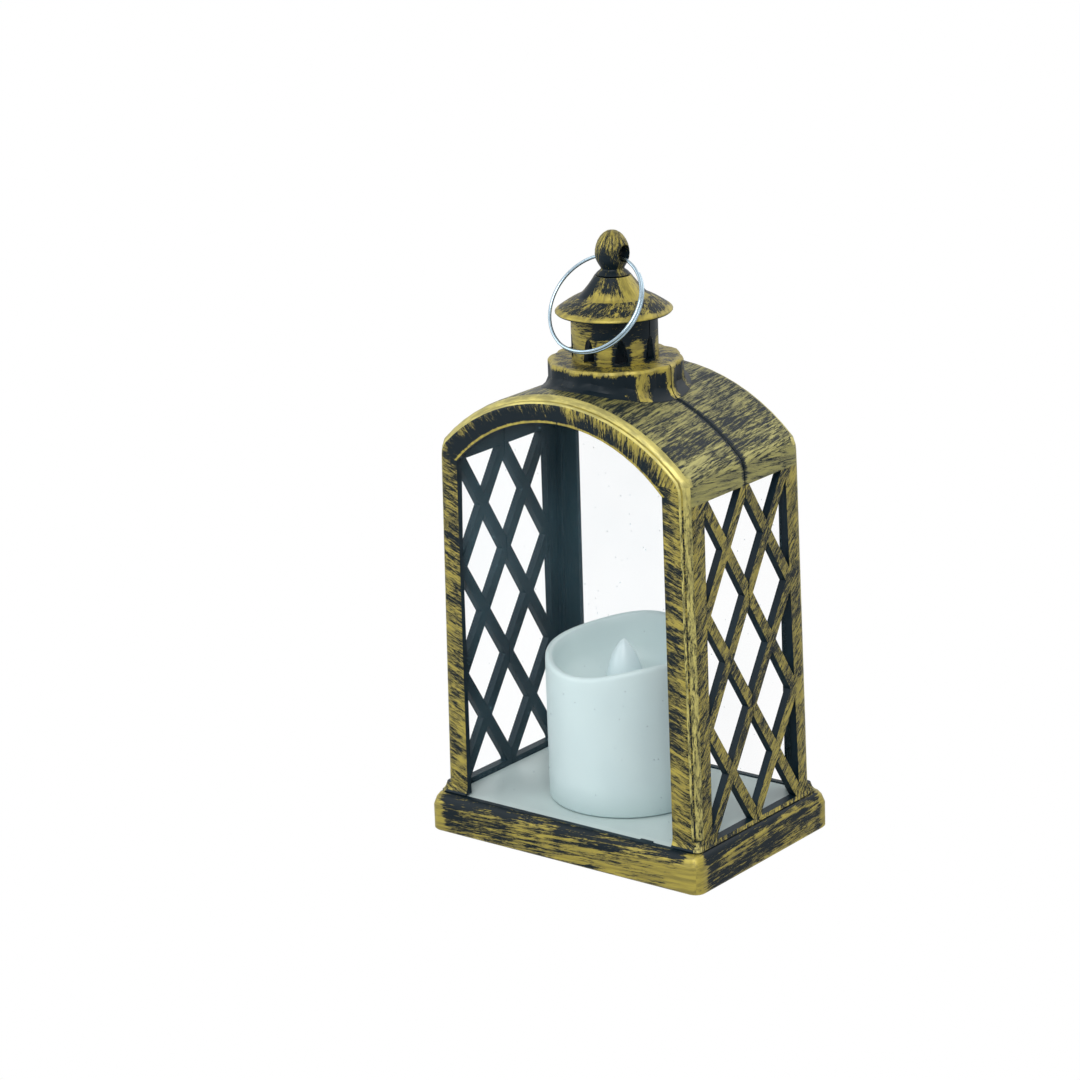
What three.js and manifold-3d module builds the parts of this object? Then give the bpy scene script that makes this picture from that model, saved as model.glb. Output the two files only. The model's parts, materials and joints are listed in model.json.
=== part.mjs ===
// Small arched lantern of moulded plastic with an LED candle, as an assembly of separate pieces.
// Millimetres, +Z up, the wide arched front faces -Y. Origin: middle of the base, on the table.
import * as THREE from 'three';
import Module from 'manifold-3d';
import { mergeVertices } from 'three/addons/utils/BufferGeometryUtils.js';

const wasm = await Module();
wasm.setup();

// Clearances
const GAP = 0.3;                // between pieces that rest on or fit into each other

// Plinth
const PLINTH_WIDTH = 84;
const PLINTH_DEPTH = 57.2;
const BAND_HEIGHT = 7;          // upright band, under the bevel
const PLINTH_HEIGHT = 9.8;
const BEVEL_RUN = 2;            // how far the bevel leans in
const PLINTH_CORNER = 2.6;
const PLINTH_WALL = 1.8;
const LIP_THICKNESS = 1.2;
const LIP_OVERHANG = 1;         // how far the wall thickens in under the lip
const RIB_THICKNESS = 1.2;      // ribs inside the long walls
const LEDGE_SIDE = 2.4;         // ledge that shows beside the housing's foot
const LEDGE_FRONT = 3.4;        // and before it

// Housing: two half shells that meet at y = 0
const BODY_WIDTH = PLINTH_WIDTH - 2 * LEDGE_SIDE;     // at the foot
const BODY_DEPTH = PLINTH_DEPTH - 2 * LEDGE_FRONT;    // at the foot
const DRAFT_X = 1.65;           // each side leans in by this much up to the spring line
const DRAFT_Y = 0.33;
const SIDE_WALL = 2;
const FRONT_WALL = 1.6;
const TONGUE_THICKNESS = 1.4;   // the part of each side wall that reaches down into the plinth
const ROOF_RADIUS = 51.8;
const ROOF_TOP_Z = 118.5;
// Where the sides meet the barrel roof
const EAVES_Z = ROOF_TOP_Z - ROOF_RADIUS + Math.sqrt(ROOF_RADIUS ** 2 - (BODY_WIDTH / 2 - DRAFT_X) ** 2);
const SPRING_DROP = 3.56;       // from the eaves to the start of the front arch
const SPRING_Z = EAVES_Z - SPRING_DROP;
const POST_FOOT_WIDTH = 7.5;    // posts beside the arched opening
const POST_SPRING_WIDTH = 6.65;
const OPENING_FOOT_WIDTH = BODY_WIDTH - 2 * POST_FOOT_WIDTH;
const OPENING_SPRING_WIDTH = BODY_WIDTH - 2 * (DRAFT_X + POST_SPRING_WIDTH);
const ARCH_RADIUS = 42.9;
const FOOT_FLARE = 0.9;
const FOOT_FLARE_HEIGHT = 2.2;
const EDGE_WIDTH = 2.6;         // bead, groove and shoulder round the front face, seen from the front
const EDGE_DEPTH = 3.9;         // and how far back they reach
const SEAM_GROOVE = 0.5;        // depth of the open joint over the roof
const SEAM_GROOVE_WIDTH = 1.3;

// Lattice in each side
const LATTICE_TOP_DROP = 5.86;  // below the eaves
const LATTICE_FOOT_RISE = 0.8;  // above the housing's foot
const LATTICE_TOP_POST = 8.05;  // frame beside the lattice
const LATTICE_FOOT_POST = 6.25;
const LATTICE_TOP_Z = EAVES_Z - LATTICE_TOP_DROP;
const LATTICE_BOTTOM_Z = PLINTH_HEIGHT + GAP + LATTICE_FOOT_RISE;
const LATTICE_TOP_WIDTH = BODY_DEPTH - 2 * LATTICE_TOP_POST;
const LATTICE_FOOT_WIDTH = BODY_DEPTH - 2 * LATTICE_FOOT_POST;
const DIAMONDS_ACROSS = 2;
const DIAMONDS_HIGH = 3;
const BAR_WIDTH = 2.9;

// Collar and vented drum
const COLLAR_RADIUS = 16.8;
const COLLAR_HEIGHT = 4.8;      // above the roof's top
const COLLAR_TOP_Z = ROOF_TOP_Z + COLLAR_HEIGHT;
const COLLAR_WALL = 2.2;
const COLLAR_LOBES = 12;
const COLLAR_SCALLOP = 0.9;
const COLLAR_FLARE = 1.7;
const DRUM_RADIUS = 10.7;
const DRUM_WALL = 1.8;
const DRUM_HEIGHT = 11.1;       // above the collar
const DRUM_TOP_Z = COLLAR_TOP_Z + DRUM_HEIGHT;
const VENT_COUNT = 8;
const VENT_FOOT_RISE = 0.5;     // above the collar
const VENT_FOOT_Z = COLLAR_TOP_Z + VENT_FOOT_RISE;
const VENT_HEIGHT = 6;
const VENT_FOOT_WIDTH = 3.4;
const VENT_NECK_WIDTH = 1.9;

// Cap, finial and carrying ring
const BRIM_RADIUS = 14.45;
const BRIM_THICKNESS = 1;
const BELL_BASE_RADIUS = 8.5;
const BELL_BASE_RISE = 3.8;     // above the middle of the brim's edge
const BELL_TOP_RADIUS = 4.5;
const BELL_HEIGHT = 8.7;        // above the middle of the brim's edge
const PETALS = 6;
const PETAL_SWELL = 0.8;
const CAP_WALL = 1.3;
const SPIGOT_LENGTH = 3;
const NECK_RADIUS = 2.85;
const NECK_HEIGHT = 1.4;        // above the finial's foot
const FINIAL_RADIUS = 4.27;
const FINIAL_HEIGHT = 10.8;
const FINIAL_PIN_RADIUS = 1.7;
const FINIAL_PIN_LENGTH = 3;
const EYE_RADIUS = 2.2;         // cross hole for the ring
const EYE_HEIGHT = 5.25;        // above the finial's foot
const RING_RADIUS = 12.9;       // to the middle of the wire
const RING_WIRE = 0.8;
const RING_TURN_GAP = 0.42;     // between the turns that lie side by side
const RING_START = 43.3;        // degrees clockwise from the top, seen from the front
const RING_END = 567.6;
const RING_REST_GAP = 0.9;      // between the hanging ring and the brim's edge

// Panes, floor and candle
const PANE_THICKNESS = 1;
const RAIL_THICKNESS = 0.9;
const RAIL_REACH = 1.6;         // from the side wall inwards
const FLOOR_DROP = 0.2;         // below the plinth's top
const FLOOR_TOP_Z = PLINTH_HEIGHT - FLOOR_DROP;
const FLOOR_THICKNESS = 1.5;
const FLOOR_TAB_WIDTH = 3.6;    // tab of the plinth that keys into the floor plate's front edge
const FLOOR_TAB_DEPTH = 0.8;
const FLOOR_TAB_INSET = 8.1;    // from the opening's right edge to the middle of the tab
const FLOOR_TAB_X = OPENING_FOOT_WIDTH / 2 - FLOOR_TAB_INSET;
const LOCATOR_HEIGHT = 1.6;     // ring on the floor that the candle fits over
const LOCATOR_WALL = 1.2;
const CANDLE_CLEARANCE = 2.4;   // between the candle and each pane
const CANDLE_RADIUS = BODY_DEPTH / 2 - FRONT_WALL - GAP - PANE_THICKNESS - CANDLE_CLEARANCE;
const CANDLE_WALL = 1.8;
const CANDLE_HEIGHT = 39.1;     // mean height of the wavy rim above the floor
const RIM_TILT = 2.2;
const RIM_TILT_AZIMUTH = 186;   // degrees from the front towards +X
const RIM_WAVE = 0.82;
const BOWL_FLOOR = 27.4;        // above the floor plate
const BOWL_THICKNESS = 1.5;
const FLAME_RADIUS = 4.8;
const FLAME_HEIGHT = 13.5;      // above the bowl
const FLANGE_WIDTH = 1.4;
const FLANGE_THICKNESS = 1.2;
const LED_RADIUS = 2.5;
const LED_HEIGHT = 7;
const BOARD_RADIUS = 8.5;
const BOARD_THICKNESS = 1.2;
const CORE_RADIUS = 4.5;
const CORE_BORE = 2.9;
const CORE_FLANGE = 9;
const CORE_PLATE = 1.2;

// Base cover, cell, switch and screws
const COVER_THICKNESS = 1.8;
const CELL_RADIUS = 10;
const CELL_THICKNESS = 3.2;
const CONTACT_THICKNESS = 0.3;
const CONTACT_LENGTH = 8;
const CONTACT_WIDTH = 5;
const BOX_MARGIN = 2.2;         // room round the cell
const BOX_WALL = 1.6;
const BOX_ROOF = 1.2;
const DOOR_THICKNESS = 1.2;
const DOOR_RECESS = 0.3;
const DOOR_PIN_RADIUS = 0.4;
const DOOR_PIN_LENGTH = 1.2;
const EAR_RADIUS = 3;           // ear of the door that takes its screw
const EAR_HOLE_CLEARANCE = 0.5;
const SWITCH_DISTANCE = 8.2;    // from the cell's box to the middle of the switch
const SWITCH_X = CELL_RADIUS + BOX_MARGIN + BOX_WALL + SWITCH_DISTANCE;
const SWITCH_TRAVEL = 2;
const SWITCH_KNOB = 2.6;
const SWITCH_STEM = 1.6;
const SWITCH_SLIDER = 3.2;
const SWITCH_LENGTH = 8;
const SWITCH_WIDTH = 6;
const SWITCH_HEIGHT = 3.4;
const SWITCH_FLOOR = 1;
const SLIDER_CHANNEL = 1.4;     // height of the slider's channel
const NEST_WALL = 1;
const NEST_HEIGHT = 1.4;
const BOSS_RADIUS = 3;
const SCREW_INSET = 13.2;       // from the housing's front to the screws behind it
const SCREW_X = BODY_WIDTH / 2 - SIDE_WALL - BOSS_RADIUS;
const SCREW_Y = BODY_DEPTH / 2 - SCREW_INSET;
const SCREW_HEAD_RADIUS = 2.1;
const SCREW_HEAD_HEIGHT = 1.3;
const SCREW_SHANK_RADIUS = 0.9;
const SCREW_LENGTH = 6.4;
const SCREW_POINT = 1;          // length of its point
const DOOR_SCREW_HEAD = 0.45;
const DOOR_SCREW_LENGTH = 4.2;
const STANDOFF_HEIGHT = 1.6;
const LEAD_RADIUS = 0.35;

const PAST = 1;                 // how far a cutter runs past what it cuts
const INTO = 0.5;               // how far joined forms run into each other

// Places worked out from the sizes above
const bodyFootZ = PLINTH_HEIGHT + GAP;
const roofCentreZ = ROOF_TOP_Z - ROOF_RADIUS;
const archCentreZ = SPRING_Z - Math.sqrt(ARCH_RADIUS ** 2 - (OPENING_SPRING_WIDTH / 2) ** 2);
const frontY = BODY_DEPTH / 2;
const cavityY = frontY - FRONT_WALL;
const innerX = BODY_WIDTH / 2 - SIDE_WALL;
const tongueX = innerX + TONGUE_THICKNESS;
const floorUnderZ = FLOOR_TOP_Z - FLOOR_THICKNESS;
const floorHalfX = innerX - GAP;
const floorHalfY = frontY - GAP / 2;
const brimZ = DRUM_TOP_Z + GAP + BRIM_THICKNESS / 2;
const finialZ = brimZ + BELL_HEIGHT + GAP;
const boxHalf = CELL_RADIUS + BOX_MARGIN;
const boxOuter = boxHalf + BOX_WALL;
const doorHalf = boxHalf - GAP;
const doorTopZ = DOOR_RECESS + DOOR_THICKNESS;
const hingeRadius = DOOR_THICKNESS / 2;
const hingeY = doorHalf - hingeRadius;
const hingeZ = DOOR_RECESS + hingeRadius;
const earY = -(boxOuter + EAR_RADIUS / 2);
const cellZ = doorTopZ + GAP;
const boxRoofZ = cellZ + CELL_THICKNESS + GAP + CONTACT_THICKNESS + GAP;
const boxTopZ = boxRoofZ + BOX_ROOF;
const bossFootZ = COVER_THICKNESS + STANDOFF_HEIGHT + GAP;
const switchFootZ = COVER_THICKNESS + GAP;
const candleZ = FLOOR_TOP_Z + GAP;
const flangeTopZ = FLOOR_TOP_Z + BOWL_FLOOR - BOWL_THICKNESS - GAP;
const boardTopZ = flangeTopZ - FLANGE_THICKNESS - GAP;
const coreFootZ = boxTopZ + GAP;
const coreTopZ = boardTopZ - BOARD_THICKNESS - GAP;
const ringSag = RING_RADIUS - Math.sqrt(RING_RADIUS ** 2 - FINIAL_RADIUS ** 2);
const ringPitch = RING_WIRE + RING_TURN_GAP;
const ringPivotRise = EYE_HEIGHT - EYE_RADIUS + GAP + RING_WIRE / 2 + ringSag;
// A circle that hangs forward from its top crosses the brim's level at this distance from the axis
const ringReach = BRIM_RADIUS + RING_WIRE / 2 + RING_REST_GAP;
const ringDrop = finialZ + ringPivotRise - brimZ;
const brimCosine = (2 * RING_RADIUS * ringDrop) / (ringReach ** 2 + ringDrop ** 2);
const collarCosine = (ringDrop + brimZ - COLLAR_TOP_Z - RING_WIRE / 2 - RING_REST_GAP) / (2 * RING_RADIUS);
// It leans forward from straight down until it clears both the brim and the collar
const ringLean = Math.acos(Math.min(brimCosine, collarCosine));
const sliderZ = switchFootZ + SWITCH_FLOOR;
const leadX = CORE_BORE - LEAD_RADIUS - 1;
const leadRunZ = boxTopZ + LEAD_RADIUS * 0.4;
const leadGateZ = cellZ + CELL_THICKNESS * 0.6;

// Materials
const finish = (colour, roughness, metalness = 0, extra = {}) =>
  new THREE.MeshStandardMaterial({ color: colour, roughness, metalness, ...extra });
const brushedGold = () => finish(0x8a8350, 0.5, 0.35);
const darkPlastic = () => finish(0x1c2b32, 0.5);
const whitePlastic = () => finish(0xc9d8d8, 0.45);
const clearPlastic = () => finish(0xe8f0f0, 0.1, 0, { transparent: true, opacity: 0.25 });
const steel = () => finish(0xb8c4cc, 0.25, 1);
const insulation = (colour) => finish(colour, 0.5);

// Geometry helpers
const lerp = (a, b, t) => a + (b - a) * t;
const degrees = THREE.MathUtils.degToRad;

// Closed skin from points and triangles, turned so that its faces point outwards.
function skin(points, triangles) {
  let volume = 0;
  const cross = new THREE.Vector3();
  for (const [a, b, c] of triangles) {
    volume += points[a].dot(cross.crossVectors(points[b], points[c]));
  }
  const index = triangles.flatMap(([a, b, c]) => (volume < 0 ? [a, c, b] : [a, b, c]));
  const geometry = new THREE.BufferGeometry().setFromPoints(points);
  geometry.setIndex(index);
  return geometry;
}

// Skin through rings of points. The ends are capped, or the last ring joins the first.
function loft(rings, joinEnds = false) {
  const count = rings[0].length;
  const points = rings.flat();
  const triangles = [];
  const last = joinEnds ? rings.length : rings.length - 1;
  for (let ring = 0; ring < last; ring += 1) {
    const here = ring * count;
    const next = ((ring + 1) % rings.length) * count;
    for (let i = 0; i < count; i += 1) {
      const j = (i + 1) % count;
      triangles.push([here + i, here + j, next + j], [here + i, next + j, next + i]);
    }
  }
  if (!joinEnds) {
    for (const [ring, flip] of [[0, true], [rings.length - 1, false]]) {
      for (const [a, b, c] of capTriangles(rings[ring])) {
        const base = ring * count;
        triangles.push(flip ? [base + a, base + c, base + b] : [base + a, base + b, base + c]);
      }
    }
  }
  return skin(points, triangles);
}

// Triangles that fill a ring of points, looked at along the axis it spans least.
// They run the same way round as the ring itself.
function capTriangles(ring) {
  const size = new THREE.Box3().setFromPoints(ring).getSize(new THREE.Vector3());
  const flat = [[size.x, 'y', 'z'], [size.y, 'z', 'x'], [size.z, 'x', 'y']].sort((a, b) => a[0] - b[0])[0];
  const outline = ring.map((p) => new THREE.Vector2(p[flat[1]], p[flat[2]]));
  const faces = THREE.ShapeUtils.triangulateShape(outline, []);
  const turn = ([a, b, c]) => (outline[b].x - outline[a].x) * (outline[c].y - outline[a].y)
    - (outline[c].x - outline[a].x) * (outline[b].y - outline[a].y);
  const ringArea = THREE.ShapeUtils.area(outline);
  return faces.map((f) => (turn(f) * ringArea < 0 ? [f[0], f[2], f[1]] : f));
}

// Box between two corners, in any order
function block(x0, x1, y0, y1, z0, z1) {
  const geometry = new THREE.BoxGeometry(Math.abs(x1 - x0), Math.abs(y1 - y0), Math.abs(z1 - z0));
  return geometry.translate((x0 + x1) / 2, (y0 + y1) / 2, (z0 + z1) / 2);
}

function post(radius, z0, z1, x = 0, y = 0, sides = 32) {
  const geometry = new THREE.CylinderGeometry(radius, radius, z1 - z0, sides);
  return geometry.rotateX(Math.PI / 2).translate(x, y, (z0 + z1) / 2);
}

// Turned piece: [radius, height] pairs that start and end on the axis, round +Z.
function turned(profile, sides = 48) {
  const geometry = new THREE.LatheGeometry(profile.map(([r, z]) => new THREE.Vector2(r, z)), sides);
  return geometry.rotateX(Math.PI / 2);
}

// Upright prism over an outline in the XY plane.
function prism(points, z0, z1) {
  return loft([z0, z1].map((z) => points.map(([x, y]) => new THREE.Vector3(x, y, z))));
}

// Prism along X over an outline of [y, z] pairs.
function prismX(points, x0, x1) {
  return loft([x0, x1].map((x) => points.map(([y, z]) => new THREE.Vector3(x, y, z))));
}

// Prism along Y over an outline of [x, z] pairs.
function prismY(points, y0, y1) {
  return loft([y0, y1].map((y) => points.map(([x, z]) => new THREE.Vector3(x, y, z))));
}

// Round wire along a smooth curve through the points.
function wire(points, radius, steps, sides = 8) {
  const path = new THREE.CatmullRomCurve3(points.map((p) => new THREE.Vector3(...p)));
  const section = new THREE.Shape();
  section.absarc(0, 0, radius, 0, 2 * Math.PI);
  return new THREE.ExtrudeGeometry(section, { steps, curveSegments: sides, extrudePath: path });
}

function solid(geometry) {
  if (geometry instanceof wasm.Manifold) return geometry;
  const bare = geometry.clone();
  bare.deleteAttribute('normal');
  bare.deleteAttribute('uv');
  const merged = mergeVertices(bare, 1e-4);
  return new wasm.Manifold(new wasm.Mesh({
    numProp: 3,
    vertProperties: new Float32Array(merged.attributes.position.array),
    triVerts: new Uint32Array(merged.index.array),
  }));
}

const join = (first, ...others) => others.reduce((sum, next) => sum.add(solid(next)), solid(first));
const cut = (first, ...others) => others.reduce((rest, next) => rest.subtract(solid(next)), solid(first));
const common = (first, second) => solid(first).intersect(solid(second));

function geometryOf(shape) {
  if (!(shape instanceof wasm.Manifold)) return shape;
  const { numProp, vertProperties, triVerts } = shape.getMesh();
  const positions = new Float32Array((vertProperties.length / numProp) * 3);
  for (let i = 0; i < positions.length / 3; i += 1) {
    for (let k = 0; k < 3; k += 1) positions[i * 3 + k] = vertProperties[i * numProp + k];
  }
  const geometry = new THREE.BufferGeometry();
  geometry.setAttribute('position', new THREE.BufferAttribute(positions, 3));
  geometry.setIndex(new THREE.BufferAttribute(new Uint32Array(triVerts), 1));
  return geometry;
}

function piece(name, shape, material) {
  const geometry = geometryOf(shape);
  geometry.computeVertexNormals();
  const mesh = new THREE.Mesh(geometry, material);
  mesh.name = name;
  return mesh;
}

// Outline of a rectangle with round corners, anticlockwise.
function roundedRectangle(halfX, halfY, radius, steps = 5) {
  const points = [];
  for (let corner = 0; corner < 4; corner += 1) {
    const x = (corner === 0 || corner === 3 ? 1 : -1) * (halfX - radius);
    const y = (corner < 2 ? 1 : -1) * (halfY - radius);
    for (let step = 0; step <= steps; step += 1) {
      const angle = (corner + step / steps) * (Math.PI / 2);
      points.push([x + radius * Math.cos(angle), y + radius * Math.sin(angle)]);
    }
  }
  return points;
}

// Half width and half depth of the housing at a height
const leanAt = (z) => (z - bodyFootZ) / (SPRING_Z - bodyFootZ);
const halfWidthAt = (z) => BODY_WIDTH / 2 - DRAFT_X * leanAt(z);
const depthShareAt = (z) => 1 - (DRAFT_Y / frontY) * leanAt(z);

// Front view of the housing, drawn in by an inset: up one side, over the barrel roof, down the other.
// The groove inset works on the roof only.
function housingOutline(inset, footZ, groove = 0) {
  const radius = ROOF_RADIUS - inset - groove;
  const eaveZ = EAVES_Z - inset * 0.3;
  const halfEave = halfWidthAt(eaveZ) - inset;
  const start = Math.asin(Math.min(0.98, (halfEave - 0.9) / radius));
  const side = [
    [halfWidthAt(footZ) - inset, footZ],
    [halfWidthAt(LATTICE_TOP_Z) - inset, LATTICE_TOP_Z],
    [halfEave - groove * 0.4, eaveZ - 2.2],
    [halfEave - 0.15 - groove * 0.8, eaveZ - 1],
  ];
  const arcSteps = 20;
  const arc = [];
  for (let step = 0; step <= arcSteps; step += 1) {
    const angle = lerp(start, -start, step / arcSteps);
    arc.push([radius * Math.sin(angle), roofCentreZ + radius * Math.cos(angle)]);
  }
  return [...side, ...arc, ...side.map(([x, z]) => [-x, z]).reverse()];
}

const outlineAt = (y, inset, footZ, groove = 0) => housingOutline(inset, footZ, groove)
  .map(([x, z]) => new THREE.Vector3(x, y * depthShareAt(z), z));

// Outer form of the housing: front face, bead, groove, shoulder, barrel, open joint, and the same behind.
function housingBlank() {
  const edge = [[0, 1], [0.05, 0.73], [0.15, 0.56], [0.3, 0.51], [0.37, 0.35], [0.51, 0.17], [0.72, 0.05],
    [1, 0]];
  const half = edge.map(([back, inset]) => [frontY - EDGE_DEPTH * back, EDGE_WIDTH * inset]);
  half.push([SEAM_GROOVE_WIDTH / 2, 0]);
  const stations = [
    ...half.map(([y, inset]) => [-y, inset, 0]),
    [0, 0, SEAM_GROOVE],
    ...half.map(([y, inset]) => [y, inset, 0]).reverse(),
  ];
  return loft(stations.map(([y, inset, groove]) => outlineAt(y, inset, bodyFootZ, groove)));
}

// Flared foot all round, so that the posts spread onto the plinth
function housingFoot() {
  const rows = [[0, 1], [0.2, 0.6], [0.5, 0.25], [1, 0]];
  return loft(rows.map(([rise, out]) => {
    const flare = FOOT_FLARE * out - (rise === 1 ? 0.05 : 0);
    return roundedRectangle(BODY_WIDTH / 2 + flare, frontY + flare, PLINTH_CORNER - 1)
      .map(([x, y]) => new THREE.Vector3(x, y, bodyFootZ + FOOT_FLARE_HEIGHT * rise));
  }));
}

// Front view of the arched opening
function archOutline() {
  const start = Math.asin(OPENING_SPRING_WIDTH / 2 / ARCH_RADIUS);
  const footZ = bodyFootZ - PAST;
  const halfFoot = lerp(OPENING_FOOT_WIDTH / 2, OPENING_SPRING_WIDTH / 2, leanAt(footZ));
  const points = [[halfFoot, footZ]];
  const steps = 20;
  for (let step = 0; step <= steps; step += 1) {
    const angle = lerp(start, -start, step / steps);
    points.push([ARCH_RADIUS * Math.sin(angle), archCentreZ + ARCH_RADIUS * Math.cos(angle)]);
  }
  points.push([-halfFoot, footZ]);
  return points;
}

// Diamond holes of the side lattice, as one cutter that runs through both sides
function latticeCutter() {
  const reach = PLINTH_WIDTH;
  const rows = 2 * DIAMONDS_HIGH;
  const at = (across, row) => {
    const half = lerp(LATTICE_TOP_WIDTH, LATTICE_FOOT_WIDTH, row / rows) / 2;
    return [half * across, lerp(LATTICE_TOP_Z, LATTICE_BOTTOM_Z, row / rows)];
  };
  const window = prismX([at(-1, 0), at(1, 0), at(1, rows), at(-1, rows)], -reach, reach);
  const bars = [];
  const acrossPerRow = 1 / DIAMONDS_ACROSS;
  for (let startRow = 2 - 2 * DIAMONDS_ACROSS; startRow < rows; startRow += 2) {
    for (const side of [-1, 1]) {
      const rowAt = (across) => startRow + (across + 1) / acrossPerRow;
      const first = rowAt(-1) >= 0 ? -1 : -1 - startRow * acrossPerRow;
      const last = Math.min(1, (rows - startRow) * acrossPerRow - 1);
      const [y0, z0] = at(side * first, rowAt(first));
      const [y1, z1] = at(side * last, rowAt(last));
      const length = Math.hypot(y1 - y0, z1 - z0);
      const [nudgeY, nudgeZ] = [((y1 - y0) / length) * BAR_WIDTH, ((z1 - z0) / length) * BAR_WIDTH];
      const [wideY, wideZ] = [-nudgeZ / 2, nudgeY / 2];
      bars.push(prismX([
        [y0 - nudgeY + wideY, z0 - nudgeZ + wideZ], [y0 - nudgeY - wideY, z0 - nudgeZ - wideZ],
        [y1 + nudgeY - wideY, z1 + nudgeZ - wideZ], [y1 + nudgeY + wideY, z1 + nudgeZ + wideZ],
      ], -reach - PAST, reach + PAST));
    }
  }
  return cut(window, ...bars);
}

const roofHeightAt = (x) => roofCentreZ + Math.sqrt(ROOF_RADIUS ** 2 - x ** 2);

// Twelve-lobed collar that flares onto the roof
function collar() {
  const pointsPerLobe = 4;
  const count = COLLAR_LOBES * pointsPerLobe;
  const ring = (radius, scallop, height) => Array.from({ length: count }, (_, i) => {
    const angle = (i / count) * 2 * Math.PI - Math.PI / 2;
    const ridge = Math.abs(Math.cos((COLLAR_LOBES / 2) * (angle + Math.PI / 2)));
    const r = radius - scallop * (1 - ridge);
    const [x, y] = [r * Math.cos(angle), r * Math.sin(angle)];
    return new THREE.Vector3(x, y, height(x));
  });
  return loft([
    ring(COLLAR_RADIUS + COLLAR_FLARE, 0, (x) => roofHeightAt(x) - 1.2),
    ring(COLLAR_RADIUS + COLLAR_FLARE, 0, (x) => roofHeightAt(x) + 0.05),
    ring(COLLAR_RADIUS + COLLAR_FLARE * 0.4, COLLAR_SCALLOP * 0.5,
      (x) => roofHeightAt(x) + COLLAR_FLARE * 0.4),
    ring(COLLAR_RADIUS, COLLAR_SCALLOP, (x) => roofHeightAt(x) + COLLAR_FLARE * 1.2),
    ring(COLLAR_RADIUS, COLLAR_SCALLOP, () => COLLAR_TOP_Z - 0.6),
    ring(COLLAR_RADIUS - 0.4, COLLAR_SCALLOP, () => COLLAR_TOP_Z),
  ]);
}

// Bottle-shaped vent holes round the drum, each a prism that points outwards
function vents() {
  const [half, neck] = [VENT_FOOT_WIDTH / 2, VENT_NECK_WIDTH / 2];
  const topZ = VENT_FOOT_Z + VENT_HEIGHT;
  const outline = [[-half, VENT_FOOT_Z], [half, VENT_FOOT_Z], [half * 0.85, lerp(VENT_FOOT_Z, topZ, 0.45)],
    [neck, lerp(VENT_FOOT_Z, topZ, 0.8)], [neck * 0.55, topZ - 0.2], [0, topZ],
    [-neck * 0.55, topZ - 0.2], [-neck, lerp(VENT_FOOT_Z, topZ, 0.8)],
    [-half * 0.85, lerp(VENT_FOOT_Z, topZ, 0.45)]];
  return Array.from({ length: VENT_COUNT }, (_, i) =>
    prismX(outline, DRUM_RADIUS - DRUM_WALL - PAST, DRUM_RADIUS + PAST)
      .rotateZ(i * ((2 * Math.PI) / VENT_COUNT)));
}

// Ribs on the inside of the side walls that hold the two panes against the arched walls
function paneRails() {
  const outerY = cavityY - GAP - PANE_THICKNESS - GAP;
  const rails = [];
  for (const sideX of [-1, 1]) {
    for (const sideY of [-1, 1]) {
      const [rootX, tipX] = [-SIDE_WALL / 2, -SIDE_WALL - RAIL_REACH];
      const innerY = outerY - RAIL_THICKNESS;
      const row = (z) => [[rootX, outerY], [tipX, outerY], [tipX, innerY], [rootX, innerY]]
        .map(([x, y]) => new THREE.Vector3(sideX * (halfWidthAt(z) + x), sideY * y, z));
      rails.push(loft([row(bodyFootZ), row(SPRING_Z - 2)]));
    }
  }
  return rails;
}

// Tongues that reach down into the plinth, each with a boss for a base screw
function tongues() {
  const solids = [];
  for (const sideX of [-1, 1]) {
    for (const sideY of [-1, 1]) {
      const endY = sideY * (SCREW_Y + BOSS_RADIUS + 1);
      const bossTop = floorUnderZ - GAP;
      solids.push(block(sideX * innerX, sideX * tongueX, sideY * (GAP / 2), endY,
        bossFootZ, bodyFootZ + INTO));
      solids.push(post(BOSS_RADIUS, bossFootZ, bossTop, sideX * SCREW_X, sideY * SCREW_Y, 24));
      solids.push(block(sideX * SCREW_X, sideX * (innerX + INTO),
        sideY * SCREW_Y - BOSS_RADIUS, sideY * SCREW_Y + BOSS_RADIUS, bossFootZ, bossTop));
    }
  }
  return solids;
}

const pilotHoles = () => [-1, 1].flatMap((sideX) => [-1, 1].map((sideY) =>
  post(SCREW_SHANK_RADIUS + GAP, bossFootZ - PAST, floorUnderZ + PAST,
    sideX * SCREW_X, sideY * SCREW_Y, 16)));

function housing() {
  const cavityOutline = housingOutline(SIDE_WALL, bodyFootZ - PAST);
  let body = join(housingBlank(), housingFoot(), collar(), post(DRUM_RADIUS, COLLAR_TOP_Z - INTO, DRUM_TOP_Z));
  body = cut(body, prismY(cavityOutline, -cavityY, cavityY));
  const coreZ = ROOF_TOP_Z - SIDE_WALL - COLLAR_RADIUS / 2;
  body = cut(body, post(COLLAR_RADIUS - COLLAR_WALL, coreZ, COLLAR_TOP_Z - DRUM_WALL),
    post(DRUM_RADIUS - DRUM_WALL, coreZ, DRUM_TOP_Z + PAST), ...vents());
  const throughY = frontY + FOOT_FLARE + PAST;
  body = cut(body, prismY(archOutline(), -throughY, throughY), latticeCutter());
  body = join(body, ...paneRails(), ...tongues());
  body = cut(body, ...pilotHoles());
  const reach = PLINTH_WIDTH;
  const [low, high] = [-PAST, DRUM_TOP_Z + PAST];
  return {
    front: common(body, block(-reach, reach, -reach, -GAP / 2, low, high)),
    back: common(body, block(-reach, reach, GAP / 2, reach, low, high)),
  };
}

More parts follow.
